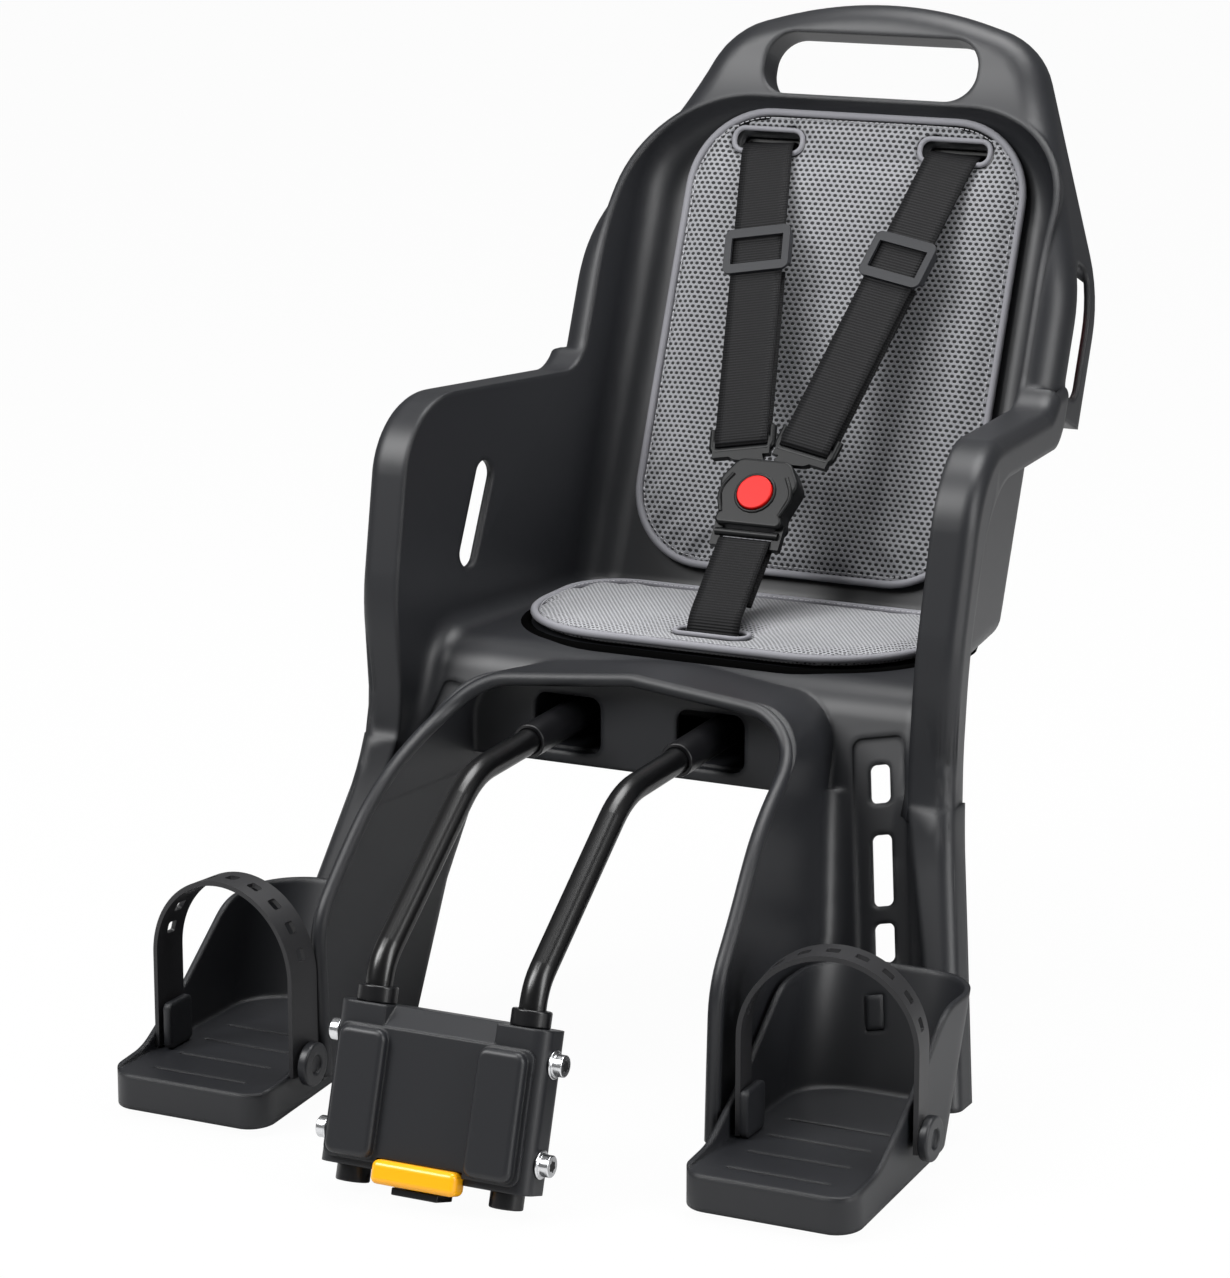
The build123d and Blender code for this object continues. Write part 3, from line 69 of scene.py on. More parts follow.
def add_node(tree, kind, inputs=None, **settings):
    """Adds a shader node; inputs names sockets and gives each a value or another node's output."""
    made = tree.nodes.new(kind)
    for name, value in settings.items():
        setattr(made, name, value)
    for socket, value in (inputs or {}).items():
        if isinstance(value, bpy.types.NodeSocket):
            tree.links.new(value, made.inputs[socket])
        else:
            made.inputs[socket].default_value = value
    return made


def moulded_plastic(name, colour, roughness, grain=0.0007, depth=0.00002, coat=0.0, edge=0.0, shine=0.42):
    """Plastic from a mould: an even colour, a fine grain in its highlights and softly rounded edges."""
    material = bpy.data.materials.new(name)
    material.use_nodes = True
    tree = material.node_tree
    tree.nodes.clear()
    surface = add_node(
        tree,
        "ShaderNodeBsdfPrincipled",
        {
            "Base Color": linear(colour),
            "Roughness": roughness,
            "IOR": 1.49,
            "Specular IOR Level": shine,
            "Coat Weight": coat,
            "Coat Roughness": 0.12,
        },
    )
    if depth:
        place = add_node(tree, "ShaderNodeTexCoord").outputs["Object"]
        speckle = add_node(
            tree, "ShaderNodeTexNoise", {"Vector": place, "Scale": 1 / grain, "Detail": 2.0, "Roughness": 0.5}
        )
        bump = add_node(
            tree, "ShaderNodeBump", {"Height": speckle.outputs["Fac"], "Strength": 0.35, "Distance": depth}
        )
        if edge:
            soft = add_node(tree, "ShaderNodeBevel", {"Radius": edge}, samples=6)
            tree.links.new(soft.outputs["Normal"], bump.inputs["Normal"])
        tree.links.new(bump.outputs["Normal"], surface.inputs["Normal"])
    add_node(tree, "ShaderNodeOutputMaterial", {"Surface": surface.outputs["BSDF"]})
    return material


def new_piece(name, bm, material, body):
    """Makes an object of a bmesh, in its finish, on a body."""
    mesh = bpy.data.meshes.new(name)
    bm.to_mesh(mesh)
    bm.free()
    piece = bpy.data.objects.new(name, mesh)
    bpy.context.scene.collection.objects.link(piece)
    mesh.materials.append(material)
    mesh.polygons.foreach_set("use_smooth", [True] * len(mesh.polygons))
    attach(piece, body)
    return piece


weld_reach = 0.00002
surface_reach = 0.00003
same_facing = 0.8


def keep_normals(mesh, cad):
    """Gives each corner the CAD surface's own normal where it still lies on that surface."""
    tree = BVHTree.FromPolygons([v.co for v in cad.vertices], [p.vertices for p in cad.polygons])
    normals = []
    for face in mesh.polygons:
        for corner in face.loop_indices:
            place = mesh.vertices[mesh.loops[corner].vertex_index].co
            found = Vector()
            hits = tree.find_nearest_range(place, surface_reach)
            best = max(hits, key=lambda hit: hit[1].dot(face.normal), default=None)
            if best and best[1].dot(face.normal) > same_facing:
                flat = cad.polygons[best[2]]
                shares = poly_3d_calc([cad.vertices[i].co for i in flat.vertices], place)
                for own, share in zip(flat.loop_indices, shares):
                    found += cad.corner_normals[own].vector * share
            normals.append(found)
    mesh.normals_split_custom_set(normals)


def eased_copy(node, edge_round, material, wide_round=0.0, is_wide=None, joined=True, reshape=None):
    """Welded copy of a CAD piece with its hard edges rounded over, some of them wider, shown in its place."""
    source = frame["nodes"][node]
    bm = bmesh.new()
    bm.from_mesh(source.data)
    bmesh.ops.remove_doubles(bm, verts=bm.verts, dist=weld_reach)
    if reshape:
        reshape(bm)
    if joined:
        bmesh.ops.dissolve_limit(bm, angle_limit=radians(0.1), verts=bm.verts, edges=bm.edges)
    for size, angle, segments, chosen in ((wide_round, 50, 5, is_wide), (edge_round, 28, 3, None)):
        hard = []
        for edge in bm.edges:
            if size and edge.is_manifold and edge.calc_face_angle() > radians(angle):
                if chosen is None or chosen(edge):
                    hard.append(edge)
        bmesh.ops.bevel(
            bm,
            geom=hard,
            offset=size,
            offset_type="OFFSET",
            affect="EDGES",
            segments=segments,
            profile=0.5,
            clamp_overlap=True,
            material=-1,
        )
    record = frame["record"]
    body = next(b for b, nodes in record["behaviour"]["bodies"].items() if node in nodes)
    piece = new_piece(node + "_skin", bm, material, body)
    keep_normals(piece.data, source.data)
    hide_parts(node)
    return piece


shell_edge = 0.0018
rim_round = 0.006
rim_line = [
    (0.237, 0.13),
    (0.234, 0.228),
    (0.262, 0.355),
    (0.4535, 0.346),
    (0.491, 0.439),
    (0.568, 0.527),
    (0.597, 0.598),
]
rim_reach = 0.03


def clipped(value):
    """Value held between 0 and 1."""
    return min(max(value, 0), 1)


def on_rim(edge):
    """True for an edge near the crest of the wings and the back, as seen from the side."""
    place = Vector(((edge.verts[0].co + edge.verts[1].co) / 2).yz)
    for start, end in zip(rim_line, rim_line[1:]):
        run = Vector(end) - Vector(start)
        share = clipped((place - Vector(start)).dot(run) / run.length_squared)
        if (place - Vector(start) - run * share).length < rim_reach:
            return True
    return False


knee_height = 0.14
knee_reach = 0.045
knee_ahead = 0.0048
knee_out = 0.0032
knee_inner_x = 0.16
knee_inner_fade = 0.012
knee_rear_y = 0.3
knee_rear_fade = 0.035
knee_cut_x = 0.155
knee_cut_y = 0.31


def soften_knee(bm):
    """Rounds the bend where the rim of each wing turns forward into the rim of the leg guard."""
    for k in range(-4, 5):
        near = []
        for face in bm.faces:
            centre = face.calc_center_median()
            if abs(centre.x) > knee_cut_x and centre.y < knee_cut_y:
                near.append(face)
        edges = list(dict.fromkeys(edge for face in near for edge in face.edges))
        verts = list(dict.fromkeys(vert for face in near for vert in face.verts))
        bmesh.ops.bisect_plane(
            bm,
            geom=verts + edges + near,
            dist=0.00001,
            plane_co=(0, 0, knee_height + k * 0.2 * knee_reach),
            plane_no=(0, 0, 1),
        )
    for vert in bm.verts:
        share = max(1 - abs(vert.co.z - knee_height) / knee_reach, 0) ** 2
        share *= clipped((abs(vert.co.x) - knee_inner_x) / knee_inner_fade)
        share *= clipped((knee_rear_y - vert.co.y) / knee_rear_fade)
        vert.co += Vector((knee_out * share * (1 if vert.co.x > 0 else -1), -knee_ahead * share, 0))


# Satin polypropylene: dark and even, with wide dull highlights that the tool's grain breaks up.
charcoal = moulded_plastic("moulded_charcoal_polypropylene", "#1c1d20", 0.42, edge=0.005)
eased_copy("seat_shell", shell_edge, charcoal, rim_round, on_rim, reshape=soften_knee)

# Lip of the guards: the moulding's front edge is rolled to a round bead, up one leg guard, over the arch and
# down the other, so that no thin edge faces the rider's legs.
guard_profile = (
    (0.22, 0.214, 0.0),
    (0.186, 0.176, 0.06),
    (0.118, 0.146, 0.16),
    (0.05, 0.074, 0.045),
    (0.052, -0.06, 0.0),
)
leg_levels = ((0.14, 0.142, 0.116), (0.06, 0.137, 0.131), (-0.025, 0.133, 0.136))
leg_front_y = 0.02
leg_back_foot_y = 0.19
leg_back_slope = 0.43
arch_front = (0.04, 0.226)
arch_rear = (0.31, 0.197)
arch_drop = 0.011
arch_corner = 0.034
lip_radius = 0.0046
lip_inset = 0.0043
lip_foot = -0.022
lip_set_back = 0.003
arch_share = 0.25
corner_share = 0.45


def leg_back_y(height):
    """Rear edge of a leg guard at a height."""
    return leg_back_foot_y + leg_back_slope * height


def rounded_line(corners, steps=10):
    """Points of an open line whose inner corners are arcs of the given radii."""
    points = [Vector(corners[0][:2])]
    for before, (x, y, radius), after in zip(corners, corners[1:], corners[2:]):
        corner = Vector((x, y))
        back = (Vector(before[:2]) - corner).normalized()
        ahead = (Vector(after[:2]) - corner).normalized()
        half = 0.5 * back.angle(ahead)
        centre = corner + (back + ahead).normalized() * radius / sin(half)
        start = corner + back * radius / tan(half)
        sweep = (pi - 2 * half) * (1 if back.x * ahead.y - back.y * ahead.x < 0 else -1)
        arm = start - centre
        square = Vector((-arm.y, arm.x))
        for k in range(steps + 1):
            turn = sweep * k / steps
            points.append(centre + arm * cos(turn) + square * sin(turn))
    return points + [Vector(corners[-1][:2])]


guard_line = rounded_line(guard_profile)


def guard_y(height):
    """Front edge of the guards, seen from the side, at a height."""
    for high, low in zip(guard_line, guard_line[1:]):
        if low.y <= height <= high.y:
            return low.x + (high.x - low.x) * (height - low.y) / max(high.y - low.y, 1e-6)
    return guard_line[0].x if height > 0 else guard_line[-1].x


def guard_x(place, height):
    """Outer face of the inner guard, at a distance to the rear and a height."""
    level = 0 if height > leg_levels[1][0] else 1
    upper, lower = leg_levels[level : level + 2]
    share = clipped((height - lower[0]) / (upper[0] - lower[0]))
    front, inner = (low + (high - low) * share for high, low in zip(upper[1:], lower[1:]))
    back = leg_back_y(min(height, leg_levels[0][0]))
    return front + (inner - front) * (place - leg_front_y) / (back - leg_front_y)


def lip_point(share):
    """Point of the lip, from the middle of the arch at 0 to the foot of the right guard at 1."""
    arch_slope = (arch_rear[1] - arch_front[1]) / (arch_rear[0] - arch_front[0])
    place = guard_profile[0][0]
    # Height and place to the rear depend on each other, and settle in a few rounds.
    for _ in range(12):
        half = guard_x(place, leg_levels[0][0]) - lip_inset
        peak = arch_front[1] + arch_slope * (place - arch_front[0])
        shoulder = peak - arch_drop - lip_inset
        if share < arch_share:
            x = (half - arch_corner) * share / arch_share
            height = peak - lip_inset - arch_drop * x / half
        elif share < corner_share:
            turn = 0.5 * pi * (share - arch_share) / (corner_share - arch_share)
            x = half - arch_corner * (1 - sin(turn))
            height = shoulder - arch_corner * (1 - cos(turn)) + arch_drop * (half - x) / half
        else:
            top = shoulder - arch_corner
            height = top + (lip_foot - top) * (share - corner_share) / (1 - corner_share)
            x = guard_x(place, height) - lip_inset
        place = guard_y(height)
    return Vector((x, place + lip_set_back, height))


def evaluated_mesh(piece):
    """Mesh of an object with its modifiers applied."""
    return bpy.data.meshes.new_from_object(piece.evaluated_get(bpy.context.evaluated_depsgraph_get()))


def tube_along(name, points, radius, material, closed=True):
    """Round cord along a line of points, as a mesh."""
    line = bpy.data.curves.new(name, "CURVE")
    line.dimensions = "3D"
    line.bevel_depth = radius
    line.bevel_resolution = 3
    line.use_fill_caps = True
    spline = line.splines.new("POLY")
    spline.points.add(len(points) - 1)
    for point, place in zip(spline.points, points):
        point.co = (*place, 1.0)
    spline.use_cyclic_u = closed
    holder = bpy.data.objects.new(name + "_line", line)
    bpy.context.scene.collection.objects.link(holder)
    bm = bmesh.new()
    bm.from_mesh(evaluated_mesh(holder))
    bpy.data.objects.remove(holder)
    return new_piece(name, bm, material, "seat")


right_lip = [lip_point(k / 60) for k in range(61)]
left_lip = [Vector((-p.x, p.y, p.z)) for p in reversed(right_lip[1:])]
tube_along("guard_lip", left_lip + right_lip, lip_radius, charcoal, closed=False)

# Back pad and seat pad: spacer mesh over thin foam, knitted with rows of oval holes and bound round the edge
# with smooth tape. They lie loose in the bucket and the straps pass through bound slots.
hands = ((-1, "left"), (1, "right"))
across = Vector((1, 0, 0))
back_lean = radians(22)
back_foot = Vector((0, 0.455, 0.211))
back_up = Vector((0, sin(back_lean), cos(back_lean)))
back_ahead = Vector((0, -cos(back_lean), sin(back_lean)))
back_pad_corners = (
    (-0.122, 0.006, 0.056),
    (0.122, 0.006, 0.056),
    (0.122, 0.322, 0.056),
    (-0.122, 0.322, 0.056),
)
pan_top = 0.2
seat_pad_corners = (
    (-0.142, 0.294, 0.078),
    (0.142, 0.294, 0.078),
    (0.142, 0.44, 0.04),
    (-0.142, 0.44, 0.04),
)
pad_thick = 0.009
pad_shrink = 0.0015
pad_swell = 0.003
pad_voxel = 0.004
cloth_frames = 20
strap_slot_x = 0.0676
strap_slot_up = 0.3
crotch_slot_y = 0.329
slot_half_width = 0.025
slot_half_height = 0.008
slot_corner = 0.007
strap_binding_radius = 0.0018
strap_binding_rise = pad_thick - 0.0016
crotch_binding_radius = 0.0016
crotch_binding_rise = pad_thick - 0.0014
piping_radius = 0.0026
piping_inset = 0.0018
piping_rise = pad_thick - 0.0022
stitch_length = 0.0026
stitch_pitch = 0.0038
stitch_radius = 0.0003
stitch_inset = 0.0062
stitch_rise = pad_thick - 0.0002
# The groove round the seat pad is drawn as a black cord of painted shade: its radius, how far out from the pad
# it lies and how deep it sinks into the pan.
groove_radius = 0.005
groove_outset = 0.0035
groove_sink = 0.0034


def spacer_mesh(name, thread, hole, pitch, row, hole_radius, tilt):
    """Knitted mesh with staggered rows of holes, drawn in a plane tilted about X."""
    material = bpy.data.materials.new(name)
    material.use_nodes = True
    tree = material.node_tree
    tree.nodes.clear()
    place = add_node(tree, "ShaderNodeTexCoord").outputs["Object"]
    cell = add_node(
        tree,
        "ShaderNodeMapping",
        {"Vector": place, "Rotation": (tilt, 0, 0), "Scale": (pitch, 2 * row, 1)},
        vector_type="TEXTURE",
    )
    spans = []
    for shift in (0.0, 0.5):
        moved = add_node(
            tree, "ShaderNodeVectorMath", {0: cell.outputs[0], 1: (shift, shift, 0)}, operation="ADD"
        )
        part = add_node(tree, "ShaderNodeVectorMath", {0: moved.outputs[0]}, operation="FRACTION")
        centred = add_node(
            tree, "ShaderNodeVectorMath", {0: part.outputs[0], 1: (0.5, 0.5, 0)}, operation="SUBTRACT"
        )
        real = add_node(
            tree,
            "ShaderNodeVectorMath",
            {0: centred.outputs[0], 1: (pitch, 2.6 * row, 0)},
            operation="MULTIPLY",
        )
        span = add_node(tree, "ShaderNodeVectorMath", {0: real.outputs[0]}, operation="LENGTH")
        spans.append(span.outputs["Value"])
    near = add_node(tree, "ShaderNodeMath", {0: spans[0], 1: spans[1]}, operation="MINIMUM")
    solid = add_node(
        tree,
        "ShaderNodeMapRange",
        {"Value": near.outputs[0], "From Min": 0.75 * hole_radius, "From Max": 1.15 * hole_radius},
        interpolation_type="SMOOTHSTEP",
    )
    # The yarn's fuzz is drawn about 1 mm coarse, so that it shows.
    fuzz = add_node(tree, "ShaderNodeTexNoise", {"Vector": place, "Scale": 900.0, "Detail": 3.0})
    yarn = add_node(
        tree,
        "ShaderNodeMix",
        {0: fuzz.outputs["Fac"], 6: linear(thread), 7: [0.62 * c for c in linear(thread)[:3]] + [1.0]},
        data_type="RGBA",
    )
    colour = add_node(
        tree, "ShaderNodeMix", {0: solid.outputs[0], 6: linear(hole), 7: yarn.outputs[2]}, data_type="RGBA"
    )
    bump = add_node(
        tree, "ShaderNodeBump", {"Height": solid.outputs[0], "Strength": 0.9, "Distance": 0.0009}
    )
    surface = add_node(
        tree,
        "ShaderNodeBsdfPrincipled",
        {
            "Base Color": colour.outputs[2],
            "Roughness": 0.85,
            "Sheen Weight": 0.25,
            "Sheen Roughness": 0.5,
            "Normal": bump.outputs["Normal"],
        },
    )
    add_node(tree, "ShaderNodeOutputMaterial", {"Surface": surface.outputs["BSDF"]})
    return material


def swollen_pad(node, material, rest_point, rest_normal):
    """Pad of fabric over foam: a slightly smaller copy of the CAD pad, blown up a little as cloth."""
    bm = bmesh.new()
    bm.from_mesh(frame["nodes"][node].data)
    bmesh.ops.remove_doubles(bm, verts=bm.verts, dist=weld_reach)
    bm.normal_update()
    for vert, step in [(vert, vert.normal * pad_shrink) for vert in bm.verts]:
        vert.co -= step
    rough = new_piece(node + "_cover", bm, material, "seat")
    remesh = rough.modifiers.new("voxels", "REMESH")
    remesh.mode = "VOXEL"
    remesh.voxel_size = pad_voxel
    mesh = evaluated_mesh(rough)
    rough.modifiers.clear()
    rough.data = mesh
    low_part = [v.index for v in mesh.vertices if (v.co - rest_point).dot(rest_normal) < 0.3 * pad_thick]
    rough.vertex_groups.new(name="resting").add(low_part, 1.0, "ADD")
    cloth = rough.modifiers.new("cloth", "CLOTH")
    cloth.settings.use_pressure = True
    cloth.settings.uniform_pressure_force = 4.0
    cloth.settings.effector_weights.gravity = 0.0
    cloth.settings.vertex_group_mass = "resting"
    cloth.point_cache.frame_start = 1
    cloth.point_cache.frame_end = cloth_frames
    for number in range(1, cloth_frames + 1):
        bpy.context.scene.frame_set(number)
    blown = evaluated_mesh(rough)
    rough.modifiers.clear()
    bpy.context.scene.frame_set(1)
    for vert, target in zip(mesh.vertices, blown.vertices):
        move = target.co - vert.co
        if move.length > pad_swell:
            move *= pad_swell / move.length
        vert.co += move
    rough.vertex_groups.clear()
    mesh.polygons.foreach_set("use_smooth", [True] * len(mesh.polygons))
    soft = rough.modifiers.new("soft", "SUBSURF")
    soft.levels = 1
    soft.render_levels = 1
    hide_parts(node)
    return rough


def rounded_outline(corners, inset, steps=14):
    """Points of an outline of right-angled corners, each with a radius, drawn in by an inset."""
    points = []
    for i, (x, y, radius) in enumerate(corners):
        corner = Vector((x, y))
        before = (Vector(corners[i - 1][:2]) - corner).normalized()
        after = (Vector(corners[(i + 1) % len(corners)][:2]) - corner).normalized()
        corner += (before + after) * inset
        radius = max(radius - inset, 0.001)
        centre = corner + (before + after) * radius
        for k in range(steps + 1):
            turn = 0.5 * pi * k / steps
            points.append(centre - after * radius * cos(turn) - before * radius * sin(turn))
    return points


def stitches(name, points, material):
    """Row of short thread stitches along a closed line of points."""
    bm = bmesh.new()
    left = 0.0
    for start, end in zip(points, points[1:] + points[:1]):
        run = end - start
        while left < run.length:
            place = start + run.normalized() * left
            turn = run.to_track_quat("Z", "Y").to_matrix().to_4x4()
            bmesh.ops.create_cone(
                bm,
                cap_ends=True,
                segments=6,
                radius1=stitch_radius,
                radius2=stitch_radius,
                depth=stitch_length,
                matrix=Matrix.Translation(place) @ turn,
            )
            left += stitch_pitch
        left -= run.length
    return new_piece(name, bm, material, "seat")


def on_back(x, up, ahead):
    """Point on the back: to the side, up its slope and out from its face."""
    return back_foot + across * x + back_up * up + back_ahead * ahead


def on_pan(x, y, rise):
    """Point over the pan."""
    return Vector((x, y, pan_top + rise))


def slot_outline(x, y):
    """Outline of a slot for webbing round a middle point."""
    corners = [
        (x + sx * slot_half_width, y + sy * slot_half_height, slot_corner)
        for sx, sy in ((-1, -1), (1, -1), (1, 1), (-1, 1))
    ]
    return rounded_outline(corners, 0.0, 6)


# Polyester spacer mesh: matte grey yarn, with dark oval holes 4.4 mm apart on the back and 3 mm on the seat.
back_knit = spacer_mesh(
    "grey_spacer_mesh", "#9a9b9f", "#1c1c1e", 0.0044, 0.0033, 0.00155, radians(90) - back_lean
)
seat_knit = spacer_mesh("grey_fine_spacer_mesh", "#a0a1a5", "#333336", 0.003, 0.0022, 0.00095, 0.0)
# Woven tape and thread: dull greys with a coarse grain, the thread a little lighter than the tape.
binding = moulded_plastic("grey_woven_binding_tape", "#7d7d82", 0.8, grain=0.0009, depth=0.00012)
thread = moulded_plastic("grey_sewing_thread", "#a9a9ad", 0.7, grain=0.0006, depth=0.00005)
# Painted shade of the groove in the pan round the seat pad: a black cord without any shine, laid where the
# recess is in shade.
painted_groove_shade = moulded_plastic("matte_black_painted_groove_shade", "#050505", 0.9, shine=0.0)
swollen_pad("back_pad", back_knit, back_foot, back_ahead)
swollen_pad("seat_pad", seat_knit, Vector((0, 0, pan_top)), Vector((0, 0, 1)))
for name, corners, on_face in (
    ("back_pad", back_pad_corners, on_back),
    ("seat_pad", seat_pad_corners, on_pan),
):
    edge = [on_face(p.x, p.y, piping_rise) for p in rounded_outline(corners, piping_inset)]
    tube_along(name + "_piping", edge, piping_radius, binding)
    seam = [on_face(p.x, p.y, stitch_rise) for p in rounded_outline(corners, stitch_inset)]
    stitches(name + "_stitches", seam, thread)
# Painted shade: a black cord sunk into the pan round the seat pad, standing in for the shade in its groove.
groove = [on_pan(p.x, p.y, -groove_sink) for p in rounded_outline(seat_pad_corners, -groove_outset)]
tube_along("seat_pad_painted_groove_shade", groove, groove_radius, painted_groove_shade)
for side, hand in hands:
    outline = slot_outline(side * strap_slot_x, strap_slot_up)
    loop = [on_back(p.x, p.y, strap_binding_rise) for p in outline]
    tube_along("strap_slot_binding_" + hand, loop, strap_binding_radius, binding)
loop = [on_pan(p.x, p.y, crotch_binding_rise) for p in slot_outline(0, crotch_slot_y)]
tube_along("crotch_slot_binding", loop, crotch_binding_radius, binding)

# Harness: black polyester webbing with fine cross ribs, folded round moulded tongues and doubled up to the
# adjusters. The upper ends pass through the back and the crotch strap through the pan, and a bar behind holds
# each of them.
harness_lean = radians(38)
harness_place = Vector((0, 0.397, 0.284))
harness_up = Vector((0, sin(harness_lean), cos(harness_lean)))
harness_ahead = Vector((0, -cos(harness_lean), sin(harness_lean)))
web_width = 0.036
web_thick = 0.0016
web_rib = 0.002
web_bend = 0.012
fold_radius = 0.00355
tongue_up = 0.04
tongue_x = 0.023
tongue_place = harness_place + harness_up * tongue_up
adjuster_place = 0.62
shoulder_tail = 0.9 * adjuster_place
crotch_tail = 0.7
crotch_bar_down = 0.034
crotch_bar = harness_place - harness_up * crotch_bar_down
crotch_mouth = on_pan(0, crotch_slot_y, pad_thick + 0.004)
shell_wall = 0.004


def ribbed_webbing(name, colour, rib):
    """Woven webbing: cross ribs along V of the ribbon's own map, with the warp yarns along it."""
    material = bpy.data.materials.new(name)
    material.use_nodes = True
    tree = material.node_tree
    tree.nodes.clear()
    place = add_node(tree, "ShaderNodeTexCoord").outputs["UV"]
    ribs = add_node(
        tree,
        "ShaderNodeTexWave",
        {"Vector": place, "Scale": 0.1 * pi / rib},
        wave_type="BANDS",
        bands_direction="Y",
    )
    warp = add_node(
        tree,
        "ShaderNodeTexWave",
        {"Vector": place, "Scale": 0.1 * pi / (0.8 * rib)},
        wave_type="BANDS",
        bands_direction="X",
    )
    weave = add_node(
        tree,
        "ShaderNodeMath",
        {0: warp.outputs["Fac"], 1: 0.35, 2: ribs.outputs["Fac"]},
        operation="MULTIPLY_ADD",
    )
    # Painted light and shade on the ribs: the colour runs from near black in each valley to the webbing's own
    # colour on each crest.
    shade = add_node(
        tree,
        "ShaderNodeMix",
        {0: ribs.outputs["Fac"], 6: linear("#050505"), 7: linear(colour)},
        data_type="RGBA",
    )
    bump = add_node(tree, "ShaderNodeBump", {"Height": weave.outputs[0], "Strength": 0.7, "Distance": 0.0003})
    surface = add_node(
        tree,
        "ShaderNodeBsdfPrincipled",
        {
            "Base Color": shade.outputs[2],
            "Roughness": 0.6,
            "Specular IOR Level": 0.14,
            "Normal": bump.outputs["Normal"],
        },
    )
    add_node(tree, "ShaderNodeOutputMaterial", {"Surface": surface.outputs["BSDF"]})
    return material


def ribbon(name, stations, material, node):
    """Band of webbing through stations, each a middle point and the direction across it."""
    bm = bmesh.new()
    bmesh.ops.create_grid(bm, x_segments=6, y_segments=len(stations) - 1, size=0.5)
    uv = bm.loops.layers.uv.new("web")
    lengths = [0.0]
    for before, after in zip(stations, stations[1:]):
        lengths.append(lengths[-1] + (after[0] - before[0]).length)
    rows = {}
    for vert in bm.verts:
        row = round((vert.co.y + 0.5) * (len(stations) - 1))
        rows[vert] = (vert.co.x * web_width, lengths[row])
        middle, across_web = stations[row]
        vert.co = middle + across_web * vert.co.x * web_width
    for face in bm.faces:
        for loop in face.loops:
            loop[uv].uv = rows[loop.vert]
    bmesh.ops.recalc_face_normals(bm, faces=bm.faces)
    piece = new_piece(name, bm, material, "seat")
    thick = piece.modifiers.new("thickness", "SOLIDIFY")
    thick.thickness = web_thick
    thick.offset = 0.0
    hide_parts(node)
    return piece


def fold_stations(bar, along, out, tail):
    """Stations of webbing that comes down behind a bar, turns round it and starts up in front."""
    centre = bar - out * fold_radius
    turns = [pi * k / 10 for k in range(11)]
    behind = [centre - out * fold_radius + along * tail * (1 - k / 10) for k in range(10)]
    return behind + [centre - out * fold_radius * cos(t) - along * fold_radius * sin(t) for t in turns]


def bend_round(before, corner, after, steps=8):
    """Points of webbing that bends round a corner, without its first point."""
    shares = [k / steps for k in range(1, steps + 1)]
    return [before * (1 - t) ** 2 + corner * 2 * t * (1 - t) + after * t**2 for t in shares]


def shoulder_run(side):
    """Tongue bar, slot and upper end of a shoulder strap's front run, with the ways along and across it."""
    bar = tongue_place + across * side * tongue_x
    slot = back_foot + back_up * strap_slot_up + across * side * strap_slot_x
    depth = (harness_place - slot).dot(harness_ahead) / back_ahead.dot(harness_ahead)
    mouth = slot + back_ahead * depth
    along = (mouth - bar).normalized()
    return bar, slot, mouth, along, along.cross(harness_ahead).normalized()


# Polyester webbing: near black and dull, with ribs 2 mm apart whose crests are painted lighter than their
# valleys, as painted light and shade.
black_webbing = ribbed_webbing("black_polyester_webbing", "#1b1b1d", web_rib)
for side, hand in hands:
    bar, slot, mouth, along, sideways = shoulder_run(side)
    length = (mouth - bar).length
    points = fold_stations(bar, along, harness_ahead, shoulder_tail * length)
    points += [bar + along * (length - web_bend) * k / 40 for k in range(1, 41)]
    points += bend_round(mouth - along * web_bend, mouth, mouth - back_ahead * web_bend)
    points.append(slot - back_ahead * 2 * shell_wall)
    stations = []
    for i, point in enumerate(points):
        level = max(0.0, (i - len(points) + 10) / 9)
        stations.append((point, sideways.lerp(across, level).normalized()))
    ribbon("shoulder_web_" + hand, stations, black_webbing, "shoulder_strap_" + hand)

down = (crotch_mouth - crotch_bar).normalized()
length = (crotch_mouth - crotch_bar).length
points = fold_stations(crotch_bar, down, harness_ahead, crotch_tail * length)
points += [crotch_bar + down * (length - web_bend) * k / 20 for k in range(1, 21)]
points += bend_round(
    crotch_bar + down * (length - web_bend), crotch_mouth, crotch_mouth - Vector((0, 0, web_bend))
)
points.append(on_pan(0, crotch_slot_y, -2 * shell_wall))
ribbon("crotch_web", [(p, across) for p in points], black_webbing, "crotch_strap")

# Buckle, tongues and adjusters: glass-filled nylon mouldings in satin black, and a red push button in a dark
# ring. The tongues click into the top of the buckle and the crotch strap loops round the bar at its foot.
buckle_front = 0.00395
button_ring_radius = 0.0134
button_ring_thick = 0.0011
crotch_loop_half = 0.022
crotch_loop_up = -0.0272
crotch_loop_ahead = -0.001
crotch_loop_radius = 0.0027
buckle_arm_line = [(0.0185, 0.013, 0), (0.0262, 0.0, 0.016), (0.0205, -0.015, 0)]
buckle_arm_radius = 0.0015
buckle_arm_ahead = buckle_front - 0.0004
tongue_frame_line = [
    (-0.0205, 0.009, 0),
    (-0.0205, -0.0068, 0.004),
    (0.0205, -0.0068, 0.004),
    (0.0205, 0.009, 0),
]
tongue_frame_radius = 0.0026
